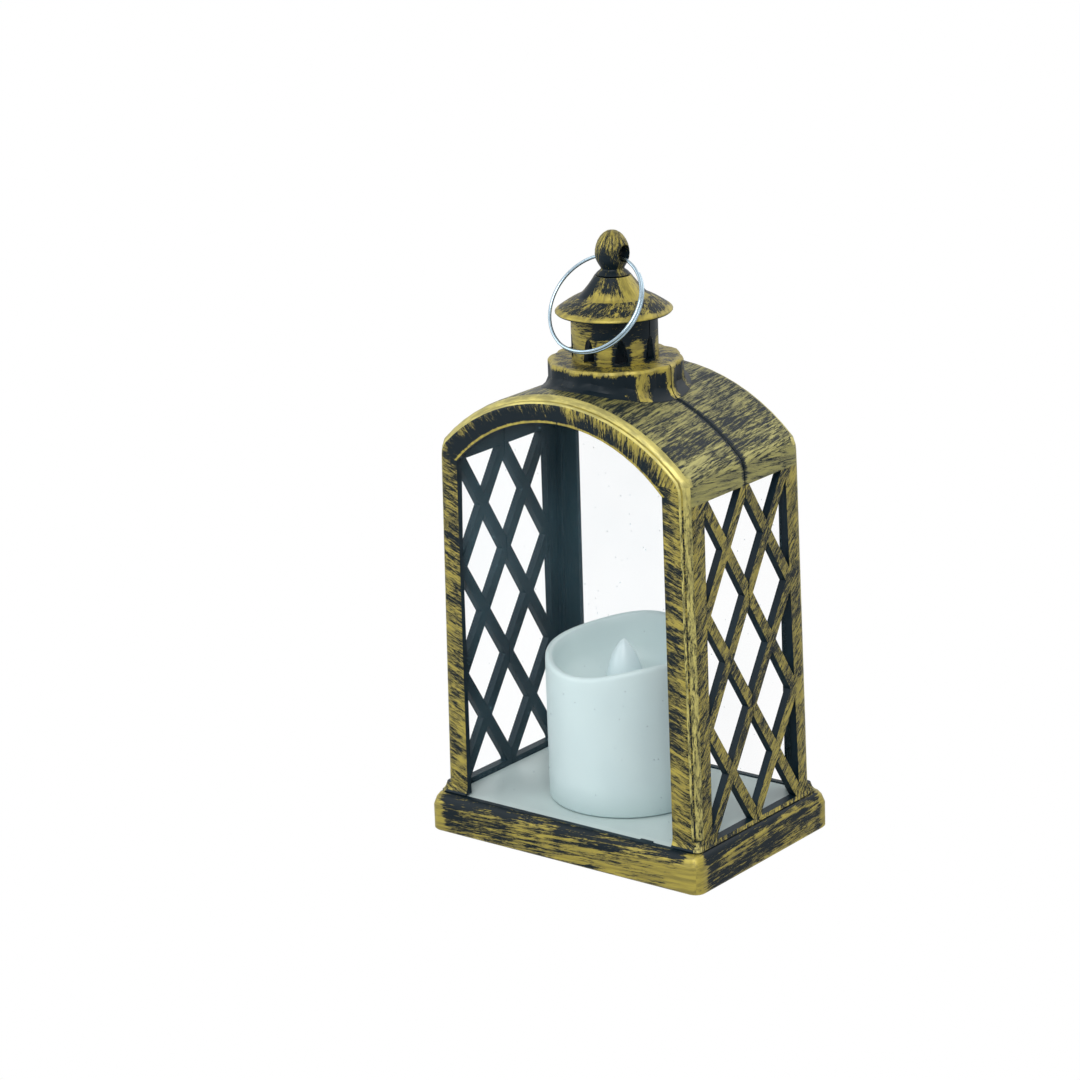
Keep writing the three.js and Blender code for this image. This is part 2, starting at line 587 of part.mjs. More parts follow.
// Plinth: upright band, rounded bevel, and a lip that the housing stands on
function plinth() {
  const rows = [[0.25, 0], [0, 0.3], [0, BAND_HEIGHT - 0.5], [0.15, BAND_HEIGHT + 0.1]];
  for (const share of [0.35, 0.65, 0.88, 1]) {
    const rise = Math.sin(share * (Math.PI / 2));
    rows.push([BEVEL_RUN * (1 - Math.cos(share * (Math.PI / 2))) * 0.85 + BEVEL_RUN * 0.15,
      lerp(BAND_HEIGHT + 0.1, PLINTH_HEIGHT, rise)]);
  }
  const outside = loft(rows.map(([inset, z]) =>
    roundedRectangle(PLINTH_WIDTH / 2 - inset, PLINTH_DEPTH / 2 - inset, PLINTH_CORNER)
      .map(([x, y]) => new THREE.Vector3(x, y, z))));
  const halfX = PLINTH_WIDTH / 2 - PLINTH_WALL;
  const halfY = PLINTH_DEPTH / 2 - PLINTH_WALL;
  const lipZ = PLINTH_HEIGHT - LIP_THICKNESS;
  const hollow = prism(roundedRectangle(halfX, halfY, 1), -PAST, BAND_HEIGHT + GAP);
  const hollowTop = prism(roundedRectangle(halfX - LIP_OVERHANG, halfY - LIP_OVERHANG, 1),
    BAND_HEIGHT, lipZ);
  const window = block(-tongueX - GAP, tongueX + GAP, -floorHalfY - GAP, floorHalfY + GAP,
    0, PLINTH_HEIGHT + PAST);
  // Ribs that stand on the base cover, so that its screws pull the plinth up against the housing
  const ribs = [];
  for (const sideY of [-1, 1]) {
    for (const x of [-PLINTH_WIDTH / 4, PLINTH_WIDTH / 4]) {
      ribs.push(block(x - RIB_THICKNESS / 2, x + RIB_THICKNESS / 2,
        sideY * (halfY - LIP_OVERHANG), sideY * (halfY + INTO), COVER_THICKNESS + GAP, lipZ));
    }
  }
  const tab = block(FLOOR_TAB_X - FLOOR_TAB_WIDTH / 2, FLOOR_TAB_X + FLOOR_TAB_WIDTH / 2,
    -floorHalfY - GAP - INTO, -floorHalfY - GAP + FLOOR_TAB_DEPTH, lipZ, PLINTH_HEIGHT);
  return join(cut(outside, hollow, hollowTop, window), ...ribs, tab);
}

// White floor plate with a ring that locates the candle
function floorPlate() {
  const plate = block(-floorHalfX, floorHalfX, -floorHalfY, floorHalfY, floorUnderZ, FLOOR_TOP_Z);
  const ringRadius = CANDLE_RADIUS - CANDLE_WALL - GAP;
  const locatorTopZ = FLOOR_TOP_Z + LOCATOR_HEIGHT;
  const ring = cut(post(ringRadius, FLOOR_TOP_Z - INTO, locatorTopZ),
    post(ringRadius - LOCATOR_WALL, FLOOR_TOP_Z - PAST, locatorTopZ + PAST));
  const notch = block(FLOOR_TAB_X - FLOOR_TAB_WIDTH / 2 - GAP, FLOOR_TAB_X + FLOOR_TAB_WIDTH / 2 + GAP,
    -floorHalfY - PAST, -floorHalfY + FLOOR_TAB_DEPTH, floorUnderZ - PAST, FLOOR_TOP_Z + PAST);
  const flangeSeat = post(CORE_FLANGE + GAP, floorUnderZ - PAST, coreFootZ + CORE_PLATE + GAP);
  return cut(join(plate, ring), notch, flangeSeat,
    post(CORE_RADIUS + GAP, floorUnderZ - PAST, locatorTopZ + PAST));
}

// Clear pane that fills the housing's section behind one arched wall
function pane(side) {
  const outline = housingOutline(SIDE_WALL + GAP, FLOOR_TOP_Z + GAP);
  const y0 = side * (cavityY - GAP);
  return prismY(outline, y0, y0 - side * PANE_THICKNESS);
}

// Height of the candle's rim above its mean. The first wave is a tilt, as if burnt down on one side.
function rimRise(azimuth) {
  const waves = [[RIM_TILT, RIM_TILT_AZIMUTH], [RIM_WAVE, 39], [RIM_WAVE, 59]];
  return waves.reduce((sum, [height, peak], i) => sum + height * Math.cos((i + 1) * (azimuth - degrees(peak))), 0);
}

// Candle: round hollow body with a wavy rim and a bowl that the flame stands in.
// Azimuth runs from the front, -Y, towards +X.
function candleBody() {
  const height = CANDLE_HEIGHT - GAP;
  const bowl = BOWL_FLOOR - GAP;
  const inner = CANDLE_RADIUS - CANDLE_WALL;
  const hole = FLAME_RADIUS + GAP;
  const up = (share) => lerp(bowl, height, share);
  const profile = [
    [CANDLE_RADIUS, 0, 0], [CANDLE_RADIUS, up(0.23), 0.15], [CANDLE_RADIUS, height - 1.3, 1],
    [CANDLE_RADIUS - 0.45, height - 0.35, 1], [CANDLE_RADIUS - 1.2, height, 1],
    [CANDLE_RADIUS - 2, height - 0.5, 1], [inner - 0.8, up(0.79), 0.8], [inner - 1.6, up(0.44), 0.3],
    [inner - 4, up(0.14), 0], [lerp(hole, inner, 0.35), up(0.03), 0], [hole, bowl, 0],
    [hole, bowl - BOWL_THICKNESS, 0], [lerp(hole, inner, 0.35), bowl - BOWL_THICKNESS + 0.2, 0],
    [inner - 3, bowl - 0.3, 0], [inner, up(0.15), 0], [inner, 0, 0],
  ];
  const sides = 44;
  const rings = Array.from({ length: sides }, (_, i) => {
    const azimuth = (i / sides) * 2 * Math.PI;
    return profile.map(([r, z, share]) =>
      new THREE.Vector3(r * Math.sin(azimuth), -r * Math.cos(azimuth), z + share * rimRise(azimuth)));
  });
  return loft(rings, true);
}

// Pointed flame with a flange under the bowl, hollow for the LED
function flameDiffuser() {
  const flange = FLAME_RADIUS + FLANGE_WIDTH;
  const bowl = BOWL_FLOOR + 1.2;
  const top = BOWL_FLOOR + FLAME_HEIGHT;
  const footZ = flangeTopZ - FLANGE_THICKNESS - FLOOR_TOP_Z;
  const cavity = LED_RADIUS + 0.6 + GAP;
  const ceiling = footZ + GAP + LED_HEIGHT + 1;
  const profile = [[0, ceiling], [cavity * 0.5, ceiling - 0.5], [cavity, ceiling - 2], [cavity, footZ],
    [flange, footZ], [flange, footZ + FLANGE_THICKNESS], [FLAME_RADIUS, footZ + FLANGE_THICKNESS],
    [FLAME_RADIUS, bowl]];
  for (const share of [0.2, 0.4, 0.58, 0.74, 0.87, 0.96]) {
    profile.push([FLAME_RADIUS * (1 - share ** 2) ** 0.75, lerp(bowl, top, share)]);
  }
  return turned([...profile, [0, top]], 24).translate(0, 0, FLOOR_TOP_Z);
}

function flameLed() {
  return turned([[0, 0], [LED_RADIUS + 0.4, 0], [LED_RADIUS + 0.4, 1], [LED_RADIUS, 1],
    [LED_RADIUS, LED_HEIGHT - LED_RADIUS], [LED_RADIUS * 0.8, LED_HEIGHT - LED_RADIUS * 0.4],
    [LED_RADIUS * 0.4, LED_HEIGHT - 0.2], [0, LED_HEIGHT]], 16);
}

// Column that carries the LED board up into the candle, with a slot for the switch's lead
function candleCore() {
  const column = join(post(CORE_RADIUS, coreFootZ, coreTopZ), post(CORE_FLANGE, coreFootZ, coreFootZ + CORE_PLATE),
    post(BOARD_RADIUS, coreTopZ - CORE_PLATE, coreTopZ));
  const slotHalf = LEAD_RADIUS + GAP;
  const slot = block(leadX, CORE_FLANGE + PAST, -slotHalf, slotHalf, coreFootZ - PAST, leadRunZ + 2.6);
  return cut(column, post(CORE_BORE, coreFootZ - PAST, coreTopZ + PAST, 0, 0, 20), slot);
}

// Battery door, a square with an ear for its screw, grown by a margin. It ends at hingeEnd along Y.
function doorPlate(margin, hingeEnd, z0, z1) {
  const half = doorHalf + margin;
  const ear = EAR_RADIUS + margin;
  return join(block(-half, half, -half, hingeEnd, z0, z1),
    post(ear, z0, z1, 0, earY, 24), block(-ear, ear, earY, 0, z0, z1));
}

function rodX(radius, x0, x1, y, z, sides = 20) {
  return post(radius, x0, x1, 0, 0, sides).rotateY(Math.PI / 2).translate(0, y, z);
}

// Door that swings on two stub pins. Its edge there is round about the pins.
function batteryDoor() {
  const pinX = doorHalf + DOOR_PIN_LENGTH;
  const counterboreZ = DOOR_RECESS + DOOR_SCREW_HEAD + GAP;
  return cut(join(doorPlate(0, hingeY, DOOR_RECESS, doorTopZ),
    rodX(hingeRadius, -doorHalf, doorHalf, hingeY, hingeZ),
    rodX(DOOR_PIN_RADIUS, -pinX, pinX, hingeY, hingeZ, 12)),
  post(SCREW_SHANK_RADIUS + GAP, -PAST, doorTopZ + PAST, 0, earY, 16),
  post(SCREW_HEAD_RADIUS + GAP, -PAST, counterboreZ, 0, earY, 20));
}

// Base cover: plate in the plinth, box for the cell, standoffs, and a nest for the switch
function baseCover() {
  const halfX = PLINTH_WIDTH / 2 - PLINTH_WALL - GAP;
  const halfY = PLINTH_DEPTH / 2 - PLINTH_WALL - GAP;
  const plate = prism(roundedRectangle(halfX, halfY, 1), 0, COVER_THICKNESS);
  const box = block(-boxOuter, boxOuter, -boxOuter, boxOuter, COVER_THICKNESS - INTO, boxTopZ);
  const nest = [-1, 1].map((side) => {
    const x = SWITCH_X + side * (SWITCH_WIDTH / 2 + GAP);
    return block(x, x + side * NEST_WALL, -SWITCH_LENGTH / 2, SWITCH_LENGTH / 2,
      COVER_THICKNESS - INTO, COVER_THICKNESS + NEST_HEIGHT);
  });
  const standoffs = [];
  const bores = [];
  for (const x of [-SCREW_X, SCREW_X]) {
    for (const y of [-SCREW_Y, SCREW_Y]) {
      standoffs.push(post(BOSS_RADIUS, INTO, COVER_THICKNESS + STANDOFF_HEIGHT, x, y, 20));
      bores.push(post(SCREW_SHANK_RADIUS + GAP, -PAST, bossFootZ + PAST, x, y, 12));
      bores.push(post(SCREW_HEAD_RADIUS + GAP, -PAST, SCREW_HEAD_HEIGHT + 2 * GAP, x, y, 16));
    }
  }
  const earTopZ = DOOR_RECESS + DOOR_SCREW_LENGTH + 0.7;
  const earBoss = post(EAR_RADIUS, COVER_THICKNESS, earTopZ, 0, earY, 24);
  const pinX = doorHalf + DOOR_PIN_LENGTH + GAP;
  const leadHalf = LEAD_RADIUS + GAP;
  const knobHalf = SWITCH_KNOB / 2 + GAP;
  return cut(join(plate, box, ...nest, ...standoffs),
    block(-boxHalf, boxHalf, -boxHalf, boxHalf, COVER_THICKNESS - PAST, boxRoofZ),
    doorPlate(GAP, hingeY + hingeRadius + GAP, -PAST, COVER_THICKNESS), ...bores,
    rodX(DOOR_PIN_RADIUS + GAP, -pinX, pinX, hingeY, hingeZ, 12),
    block(SWITCH_X - knobHalf, SWITCH_X + knobHalf, -knobHalf - SWITCH_TRAVEL / 2, knobHalf + SWITCH_TRAVEL / 2,
      -PAST, COVER_THICKNESS + PAST),
    post(leadHalf, boxRoofZ - PAST, boxTopZ + PAST, -leadX, 0, 12),
    block(0, boxOuter + PAST, -leadHalf, leadHalf, leadRunZ - leadHalf, boxTopZ + PAST),
    rodX(leadHalf, boxHalf - PAST, boxOuter + PAST, 0, leadGateZ, 12))
    .add(cut(earBoss, post(SCREW_SHANK_RADIUS + EAR_HOLE_CLEARANCE, 0, earTopZ + PAST, 0, earY, 16),
      block(-boxHalf, boxHalf, -boxHalf, boxHalf, 0, boxRoofZ)));
}

// Insulated leads: board to cell, cell to switch, and switch to board over the box's roof
function leadThroughRoof() {
  return post(LEAD_RADIUS, boxRoofZ, coreTopZ, -leadX, 0, 10);
}

function leadToSwitch() {
  return rodX(LEAD_RADIUS, boxHalf + GAP, SWITCH_X - SWITCH_WIDTH / 2 - GAP, 0, leadGateZ, 10);
}

function leadToBoard() {
  const switchTop = switchFootZ + SWITCH_HEIGHT + GAP;
  return wire([[SWITCH_X, 0, switchTop], [SWITCH_X, 0, switchTop + 0.6], [SWITCH_X - 1.2, 0, leadRunZ - 0.1],
    [SWITCH_X - 3, 0, leadRunZ], [boxOuter, 0, leadRunZ], [CORE_RADIUS + 1.5, 0, leadRunZ],
    [leadX + 1, 0, leadRunZ + 0.5], [leadX, 0, leadRunZ + 2.2], [leadX, 0, leadRunZ + 8], [leadX, 0, coreTopZ]],
  LEAD_RADIUS, 30, 3);
}

// Screw, head down, standing on its head's outer face
function screw(headHeight, length) {
  return turned([[0, 0], [SCREW_HEAD_RADIUS - 0.3, 0], [SCREW_HEAD_RADIUS, 0.2], [SCREW_HEAD_RADIUS, headHeight],
    [SCREW_SHANK_RADIUS, headHeight], [SCREW_SHANK_RADIUS, length - SCREW_POINT], [0, length]], 16);
}

// Bowed leaf spring between the box's wall and the rim of the cell
function leafContact() {
  const half = CELL_RADIUS * 0.45;
  const [near, far] = [CELL_RADIUS + GAP, boxHalf - GAP - CONTACT_THICKNESS];
  const bow = [-1, -0.75, -0.5, -0.2, 0.2, 0.5, 0.75, 1].map((share) => [lerp(near, far, share ** 2), half * share]);
  const outline = [...bow, ...bow.map(([x, y]) => [x + CONTACT_THICKNESS, y]).reverse()];
  return prism(outline, cellZ + 0.4, cellZ + CELL_THICKNESS * 0.45);
}

function coinCell() {
  return turned([[0, 0], [CELL_RADIUS - 0.3, 0], [CELL_RADIUS, 0.3], [CELL_RADIUS, CELL_THICKNESS - 0.6],
    [CELL_RADIUS - 0.9, CELL_THICKNESS - 0.5], [CELL_RADIUS - 1.2, CELL_THICKNESS], [0, CELL_THICKNESS]], 32);
}

// Slide switch. The slider runs in a channel, and its stem comes down through a narrower slot.
const runAlongY = (width, travel, z0, z1) =>
  block(-width / 2, width / 2, -(width + travel) / 2, (width + travel) / 2, z0, z1);

function switchBody() {
  const body = block(-SWITCH_WIDTH / 2, SWITCH_WIDTH / 2, -SWITCH_LENGTH / 2, SWITCH_LENGTH / 2,
    switchFootZ, switchFootZ + SWITCH_HEIGHT);
  return cut(body, runAlongY(SWITCH_STEM + 2 * GAP, SWITCH_TRAVEL, switchFootZ - PAST, sliderZ + INTO),
    runAlongY(SWITCH_SLIDER + 2 * GAP, SWITCH_TRAVEL, sliderZ, sliderZ + SLIDER_CHANNEL));
}

function switchKnob() {
  return join(runAlongY(SWITCH_KNOB, 0, GAP, COVER_THICKNESS),
    runAlongY(SWITCH_STEM, 0, COVER_THICKNESS - INTO, sliderZ + INTO),
    runAlongY(SWITCH_SLIDER, 0, sliderZ + GAP, sliderZ + SLIDER_CHANNEL - GAP));
}

// Cap: domed brim, petalled bell, and a spigot that plugs into the drum.
// Heights are from the middle of the brim's edge.
function cap() {
  const bellAt = (share) => lerp(BELL_BASE_RADIUS, BELL_TOP_RADIUS, share ** 0.85);
  const riseAt = (share) => lerp(BELL_BASE_RISE, BELL_HEIGHT, share);
  const edge = BRIM_THICKNESS / 2;
  const rows = [[BRIM_RADIUS - 0.35, -edge, 0], [BRIM_RADIUS, -edge * 0.3, 0], [BRIM_RADIUS, edge * 0.3, 0],
    [BRIM_RADIUS - 0.3, edge, 0]];
  for (const share of [0.2, 0.45, 0.7, 0.9]) {
    const rise = Math.sin(share * (Math.PI / 2)) * 0.35 + share * 0.65;
    rows.push([lerp(BRIM_RADIUS - 0.3, BELL_BASE_RADIUS, share), lerp(edge, BELL_BASE_RISE, rise), 0]);
  }
  for (const share of [0, 0.08, 0.22, 0.4, 0.6, 0.8, 1]) {
    rows.push([bellAt(share), riseAt(share), Math.min(1, share * 8) * (1 - share)]);
  }
  const sides = 48;
  const outside = loft(rows.map(([radius, z, swell]) => Array.from({ length: sides }, (_, i) => {
    const azimuth = (i / sides) * 2 * Math.PI;
    const petal = Math.abs(Math.cos((PETALS / 2) * (azimuth - degrees(30)))) - 0.64;
    const r = radius + PETAL_SWELL * swell * petal;
    return new THREE.Vector3(r * Math.sin(azimuth), -r * Math.cos(azimuth), z);
  })));
  const spigotRadius = DRUM_RADIUS - DRUM_WALL - GAP;
  const pinHole = FINIAL_PIN_RADIUS + GAP;
  const pinFloor = BELL_HEIGHT - FINIAL_PIN_LENGTH;
  const under = turned([[0, -2], [BRIM_RADIUS - CAP_WALL, -2], [BRIM_RADIUS - CAP_WALL, -edge + 0.1],
    [spigotRadius - CAP_WALL, BELL_BASE_RISE - CAP_WALL], [bellAt(0.3) - CAP_WALL - PETAL_SWELL * 0.5, riseAt(0.3)],
    [pinHole, pinFloor], [pinHole, BELL_HEIGHT + 1], [0, BELL_HEIGHT + 1]], 24);
  const spigot = cut(post(spigotRadius, -SPIGOT_LENGTH, BELL_BASE_RISE - CAP_WALL, 0, 0, 24),
    post(spigotRadius - CAP_WALL, -SPIGOT_LENGTH - PAST, BELL_BASE_RISE, 0, 0, 24));
  return join(cut(outside, under), spigot);
}

// Egg-shaped finial on a short neck, with the cross hole for the ring and a pin that plugs into the cap
function finial() {
  const profile = [[0, -FINIAL_PIN_LENGTH], [FINIAL_PIN_RADIUS, -FINIAL_PIN_LENGTH], [FINIAL_PIN_RADIUS, 0],
    [BELL_TOP_RADIUS - 0.3, 0], [lerp(BELL_TOP_RADIUS, NECK_RADIUS, 0.45), NECK_HEIGHT * 0.35],
    [lerp(BELL_TOP_RADIUS, NECK_RADIUS, 0.85), NECK_HEIGHT * 0.7]];
  const widest = lerp(NECK_HEIGHT, FINIAL_HEIGHT, 0.37);
  for (const share of [0, 0.2, 0.45, 0.7, 1]) {
    profile.push([lerp(NECK_RADIUS, FINIAL_RADIUS, Math.sin(share * (Math.PI / 2))), lerp(NECK_HEIGHT, widest, share)]);
  }
  for (const share of [0.2, 0.4, 0.58, 0.74, 0.87, 0.96]) {
    profile.push([FINIAL_RADIUS * Math.sqrt(1 - share ** 2), lerp(widest, FINIAL_HEIGHT, share)]);
  }
  profile.push([0, FINIAL_HEIGHT]);
  return cut(turned(profile, 28), rodX(EYE_RADIUS, -2 * FINIAL_RADIUS, 2 * FINIAL_RADIUS, 0, EYE_HEIGHT, 20));
}

// Split ring, one unbroken wire of nearly one and a half turns. It hangs below its pivot in the XZ plane,
// and its turns lie side by side along Y.
class SplitRingCurve extends THREE.Curve {
  getPoint(t, target = new THREE.Vector3()) {
    const angle = degrees(lerp(RING_START, RING_END, t));
    return target.set(RING_RADIUS * Math.sin(angle), -ringPitch * (angle / (2 * Math.PI) - 1),
      -RING_RADIUS * (1 - Math.cos(angle)));
  }
}

// Least clear distance between stretches of the wire that lie more than half a turn apart
function ringSelfGap(curve) {
  const points = curve.getSpacedPoints(400);
  const halfTurn = Math.round((400 * 180) / (RING_END - RING_START));
  let least = Infinity;
  points.forEach((point, i) => {
    for (let j = i + halfTurn; j < points.length; j += 1) least = Math.min(least, point.distanceTo(points[j]));
  });
  return least - RING_WIRE;
}

function splitRing() {
  const curve = new SplitRingCurve();
  console.log(`Split ring: least gap between turns ${ringSelfGap(curve).toFixed(2)} mm`);
  const section = new THREE.Shape();
  section.absarc(0, 0, RING_WIRE / 2, 0, 2 * Math.PI);
  const steps = Math.round((24 * (RING_END - RING_START)) / 360);
  return new THREE.ExtrudeGeometry(section, { steps, curveSegments: 3, extrudePath: curve });
}

// Assembly
const lantern = new THREE.Group();
const shells = housing();
lantern.add(
  piece('plinth', plinth(), brushedGold()),
  piece('front_shell', shells.front, brushedGold()),
  piece('back_shell', shells.back, brushedGold()),
  piece('front_pane', pane(-1), clearPlastic()),
  piece('back_pane', pane(1), clearPlastic()),
  piece('floor_plate', floorPlate(), whitePlastic()),
);

const top = new THREE.Group();
top.position.z = brimZ;
const finialGroup = new THREE.Group();
finialGroup.position.z = finialZ - brimZ;
const ringHang = new THREE.Group();
ringHang.position.z = ringPivotRise;
ringHang.rotation.x = -ringLean;
ringHang.add(piece('split_ring', splitRing(), steel()));
finialGroup.add(piece('finial', finial(), brushedGold()), ringHang);
top.add(piece('cap', cap(), brushedGold()), finialGroup);

const candle = piece('candle_body', candleBody(), whitePlastic());
candle.position.z = candleZ;
const led = piece('flame_led', flameLed(), finish(0xf2ead0, 0.2));
led.position.z = boardTopZ + GAP;
const board = post(BOARD_RADIUS, boardTopZ - BOARD_THICKNESS, boardTopZ);
lantern.add(top, candle, led, piece('flame_diffuser', flameDiffuser(), whitePlastic()),
  piece('led_board', board, finish(0x2f6b3c, 0.5)), piece('candle_core', candleCore(), whitePlastic()));

const cell = piece('coin_cell', coinCell(), steel());
cell.position.z = cellZ;
const contactZ = cellZ + CELL_THICKNESS + GAP;
const strip = block(-CONTACT_LENGTH / 2, CONTACT_LENGTH / 2, -CONTACT_WIDTH / 2, CONTACT_WIDTH / 2,
  contactZ, contactZ + CONTACT_THICKNESS);
const slideBody = piece('switch_body', switchBody(), darkPlastic());
slideBody.position.x = SWITCH_X;
const knob = piece('switch_knob', switchKnob(), darkPlastic());
knob.position.set(SWITCH_X, -SWITCH_TRAVEL / 2, 0);
const doorScrew = piece('door_screw', screw(DOOR_SCREW_HEAD, DOOR_SCREW_LENGTH), steel());
doorScrew.position.set(0, earY, DOOR_RECESS);
lantern.add(
  piece('base_cover', baseCover(), darkPlastic()),
  piece('battery_door', batteryDoor(), darkPlastic()),
  cell,
  piece('contact_negative', strip, steel()),
  piece('contact_positive', leafContact(), steel()),
  slideBody,
  knob,
  doorScrew,
  piece('lead_negative', leadThroughRoof(), insulation(0x151515)),
  piece('lead_positive', leadToSwitch(), insulation(0xa02018)),
  piece('lead_switch', leadToBoard(), insulation(0xa02018)),
);

let screwNumber = 0;
for (const x of [-SCREW_X, SCREW_X]) {
  for (const y of [-SCREW_Y, SCREW_Y]) {
    screwNumber += 1;
    const baseScrew = piece(`base_screw_${screwNumber}`, screw(SCREW_HEAD_HEIGHT, SCREW_LENGTH), steel());
    baseScrew.position.set(x, y, GAP);
    lantern.add(baseScrew);
  }
}

export default lantern;
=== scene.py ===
# %% [markdown]
# A small arched lantern with an LED candle. Its frame comes from a CAD model, and this file gives it its
# looks: a worn gold finish brushed over blue-black plastic, a cool white candle, clear panes and a steel
# split ring. The frame is loaded first.

# %% Load the frame
import json
import math

import bmesh
import bpy
from mathutils import Matrix, Vector


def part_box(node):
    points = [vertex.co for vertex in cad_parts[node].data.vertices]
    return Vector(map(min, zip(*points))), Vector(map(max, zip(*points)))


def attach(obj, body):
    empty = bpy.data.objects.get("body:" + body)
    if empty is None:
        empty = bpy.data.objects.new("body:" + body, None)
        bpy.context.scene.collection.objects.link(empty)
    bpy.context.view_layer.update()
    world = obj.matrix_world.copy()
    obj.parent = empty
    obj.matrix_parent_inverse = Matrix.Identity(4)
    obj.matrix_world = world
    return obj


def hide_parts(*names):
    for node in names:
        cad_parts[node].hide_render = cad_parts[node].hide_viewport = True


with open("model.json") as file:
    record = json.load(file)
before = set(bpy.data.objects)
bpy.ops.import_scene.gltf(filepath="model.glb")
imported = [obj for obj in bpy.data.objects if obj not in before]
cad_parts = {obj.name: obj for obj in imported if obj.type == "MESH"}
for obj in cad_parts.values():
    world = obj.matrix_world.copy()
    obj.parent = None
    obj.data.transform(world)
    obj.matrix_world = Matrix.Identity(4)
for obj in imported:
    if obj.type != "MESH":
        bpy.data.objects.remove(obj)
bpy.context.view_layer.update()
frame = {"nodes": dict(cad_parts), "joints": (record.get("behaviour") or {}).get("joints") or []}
MM = 0.001

# %% [markdown]
# Every finish here is a node tree. It could be wired by hand in the shader editor, but a script makes the
# same tree every time. Helpers keep it short: one adds a node and fills or links its inputs, and the others
# stand for the nodes that are used most.


# %% Node helpers
def node(tree, kind, inputs=None, **settings):
    """Adds a node. An input takes a value, or the socket of another node, which is linked."""
    made = tree.nodes.new(kind)
    for name, value in settings.items():
        setattr(made, name, value)
    for key, value in (inputs or {}).items():
        if isinstance(value, bpy.types.NodeSocket):
            tree.links.new(value, made.inputs[key])
        else:
            made.inputs[key].default_value = value
    return made


def calc(tree, operation, a, b=0.0, c=0.0):
    """Adds a Math node and returns its value."""
    return node(tree, "ShaderNodeMath", {0: a, 1: b, 2: c}, operation=operation).outputs[0]


def plus(tree, a, b):
    return calc(tree, "ADD", a, b)


def minus(tree, a, b):
    return calc(tree, "SUBTRACT", a, b)


def times(tree, a, b):
    return calc(tree, "MULTIPLY", a, b)


def larger(tree, a, b):
    return calc(tree, "MAXIMUM", a, b)


# %% Ramps and noise
def ramp(tree, value, low, high, out_low=0.0, out_high=1.0):
    """Smooth step of a value between two limits."""
    inputs = {0: value, 1: low, 2: high, 3: out_low, 4: out_high}
    return node(tree, "ShaderNodeMapRange", inputs, interpolation_type="SMOOTHSTEP").outputs[0]


def noise(tree, place, scale, detail=3.0, roughness=0.5, distortion=0.0):
    """Adds a noise texture and returns its value from 0 to 1."""
    inputs = {"Vector": place, "Scale": scale, "Detail": detail, "Roughness": roughness,
              "Distortion": distortion}
    return node(tree, "ShaderNodeTexNoise", inputs).outputs[0]


# %% Colours
def linear(red, green, blue):
    """Screen colour from 0 to 255 as a linear colour with alpha."""
    channels = [value / 255 for value in (red, green, blue)]
    curve = [c / 12.92 if c <= 0.04045 else ((c + 0.055) / 1.055) ** 2.4 for c in channels]
    return (*curve, 1)


def mixed(tree, share, a, b):
    """Mix of two colours."""
    return node(tree, "ShaderNodeMix", {0: share, 6: a, 7: b}, data_type="RGBA").outputs[2]


GOLD = linear(172, 156, 66)
# Paler gold for the roof: a painted reflection of the sky on its upward-facing surfaces.
SKY_REFLECTION_GOLD = linear(158, 152, 86)
# Lighter gold for the bead and the bevelled edges: a painted highlight.
PAINTED_HIGHLIGHT_GOLD = linear(198, 186, 106)
GROUND = linear(13, 26, 33)
print("Gold as a linear colour:", [round(channel, 3) for channel in GOLD])


# %% A new finish
def new_finish(name, **values):
    """A material with a Principled BSDF. Returns it, its tree, the shader and the Object coordinates."""
    material = bpy.data.materials.new(name)
    material.use_nodes = True
    tree = material.node_tree
    shader = tree.nodes["Principled BSDF"]
    for key, value in values.items():
        shader.inputs[key.replace("_", " ")].default_value = value
    place = tree.nodes.new("ShaderNodeTexCoord").outputs["Object"]
    return material, tree, shader, place


def feed(tree, target, sockets):
    """Links fields to a node's inputs by name."""
    for name, socket in sockets.items():
        tree.links.new(socket, target.inputs[name])


def bumped(tree, shader, height, distance, strength=1.0):
    """Feeds a height into the shader's normal."""
    bump = node(tree, "ShaderNodeBump", {"Height": height, "Distance": distance, "Strength": strength})
    feed(tree, shader, {"Normal": bump.outputs[0]})


# %% [markdown]
# The real lantern is moulded in blue-black plastic, and gold paint is dragged over it with a nearly dry
# brush. The paint lies in fine streaks, misses whole patches and builds up on edges. It could be a painted
# picture, but that has seams and goes soft near by. A rule stays sharp: streaks are noise stretched along
# the brush, patches are slow noise, and Coverage says how much gold there is. One node group serves all.


# %% Streaks and bare patches
def brush_streaks(group, stroke):
    """Coarse and fine streaks together, round a middle of 0.5."""
    coarse = times(group, noise(group, stroke, 1.0, 5.0, 0.7, 0.6), 0.85)
    fine = times(group, noise(group, stroke, 3.3, 4.0, 0.75, 0.3), 0.75)
    return minus(group, plus(group, coarse, fine), 0.3)


def bare_patches(group, stroke, place):
    """Slow noise, two thirds of it drawn out along the strokes."""
    drawn_out = times(group, noise(group, stroke, 0.15, 3.0, 0.6), 0.65)
    round_blots = times(group, noise(group, place, 150.0, 5.0, 0.65), 0.35)
    return plus(group, drawn_out, round_blots)


# %% Worn gilding
PAINT_METAL = 0.4
GROUND_ROUGHNESS, PAINT_ROUGHNESS = 0.38, 0.42
GROUND_SPECULAR, PAINT_SPECULAR = 0.14, 0.6
THIN_PAINT = 0.45  # share of the ground that shows through where the paint is thin


def group_sockets(group, inputs, outputs):
    """Gives a group its sockets. Returns what comes in, and the node that takes what goes out."""
    for name, kind, value in inputs:
        socket = group.interface.new_socket(name, in_out="INPUT", socket_type="NodeSocket" + kind)
        if value is not None:
            socket.default_value = value
    for name, kind in outputs:
        group.interface.new_socket(name, in_out="OUTPUT", socket_type="NodeSocket" + kind)
    return group.nodes.new("NodeGroupInput").outputs, group.nodes.new("NodeGroupOutput")


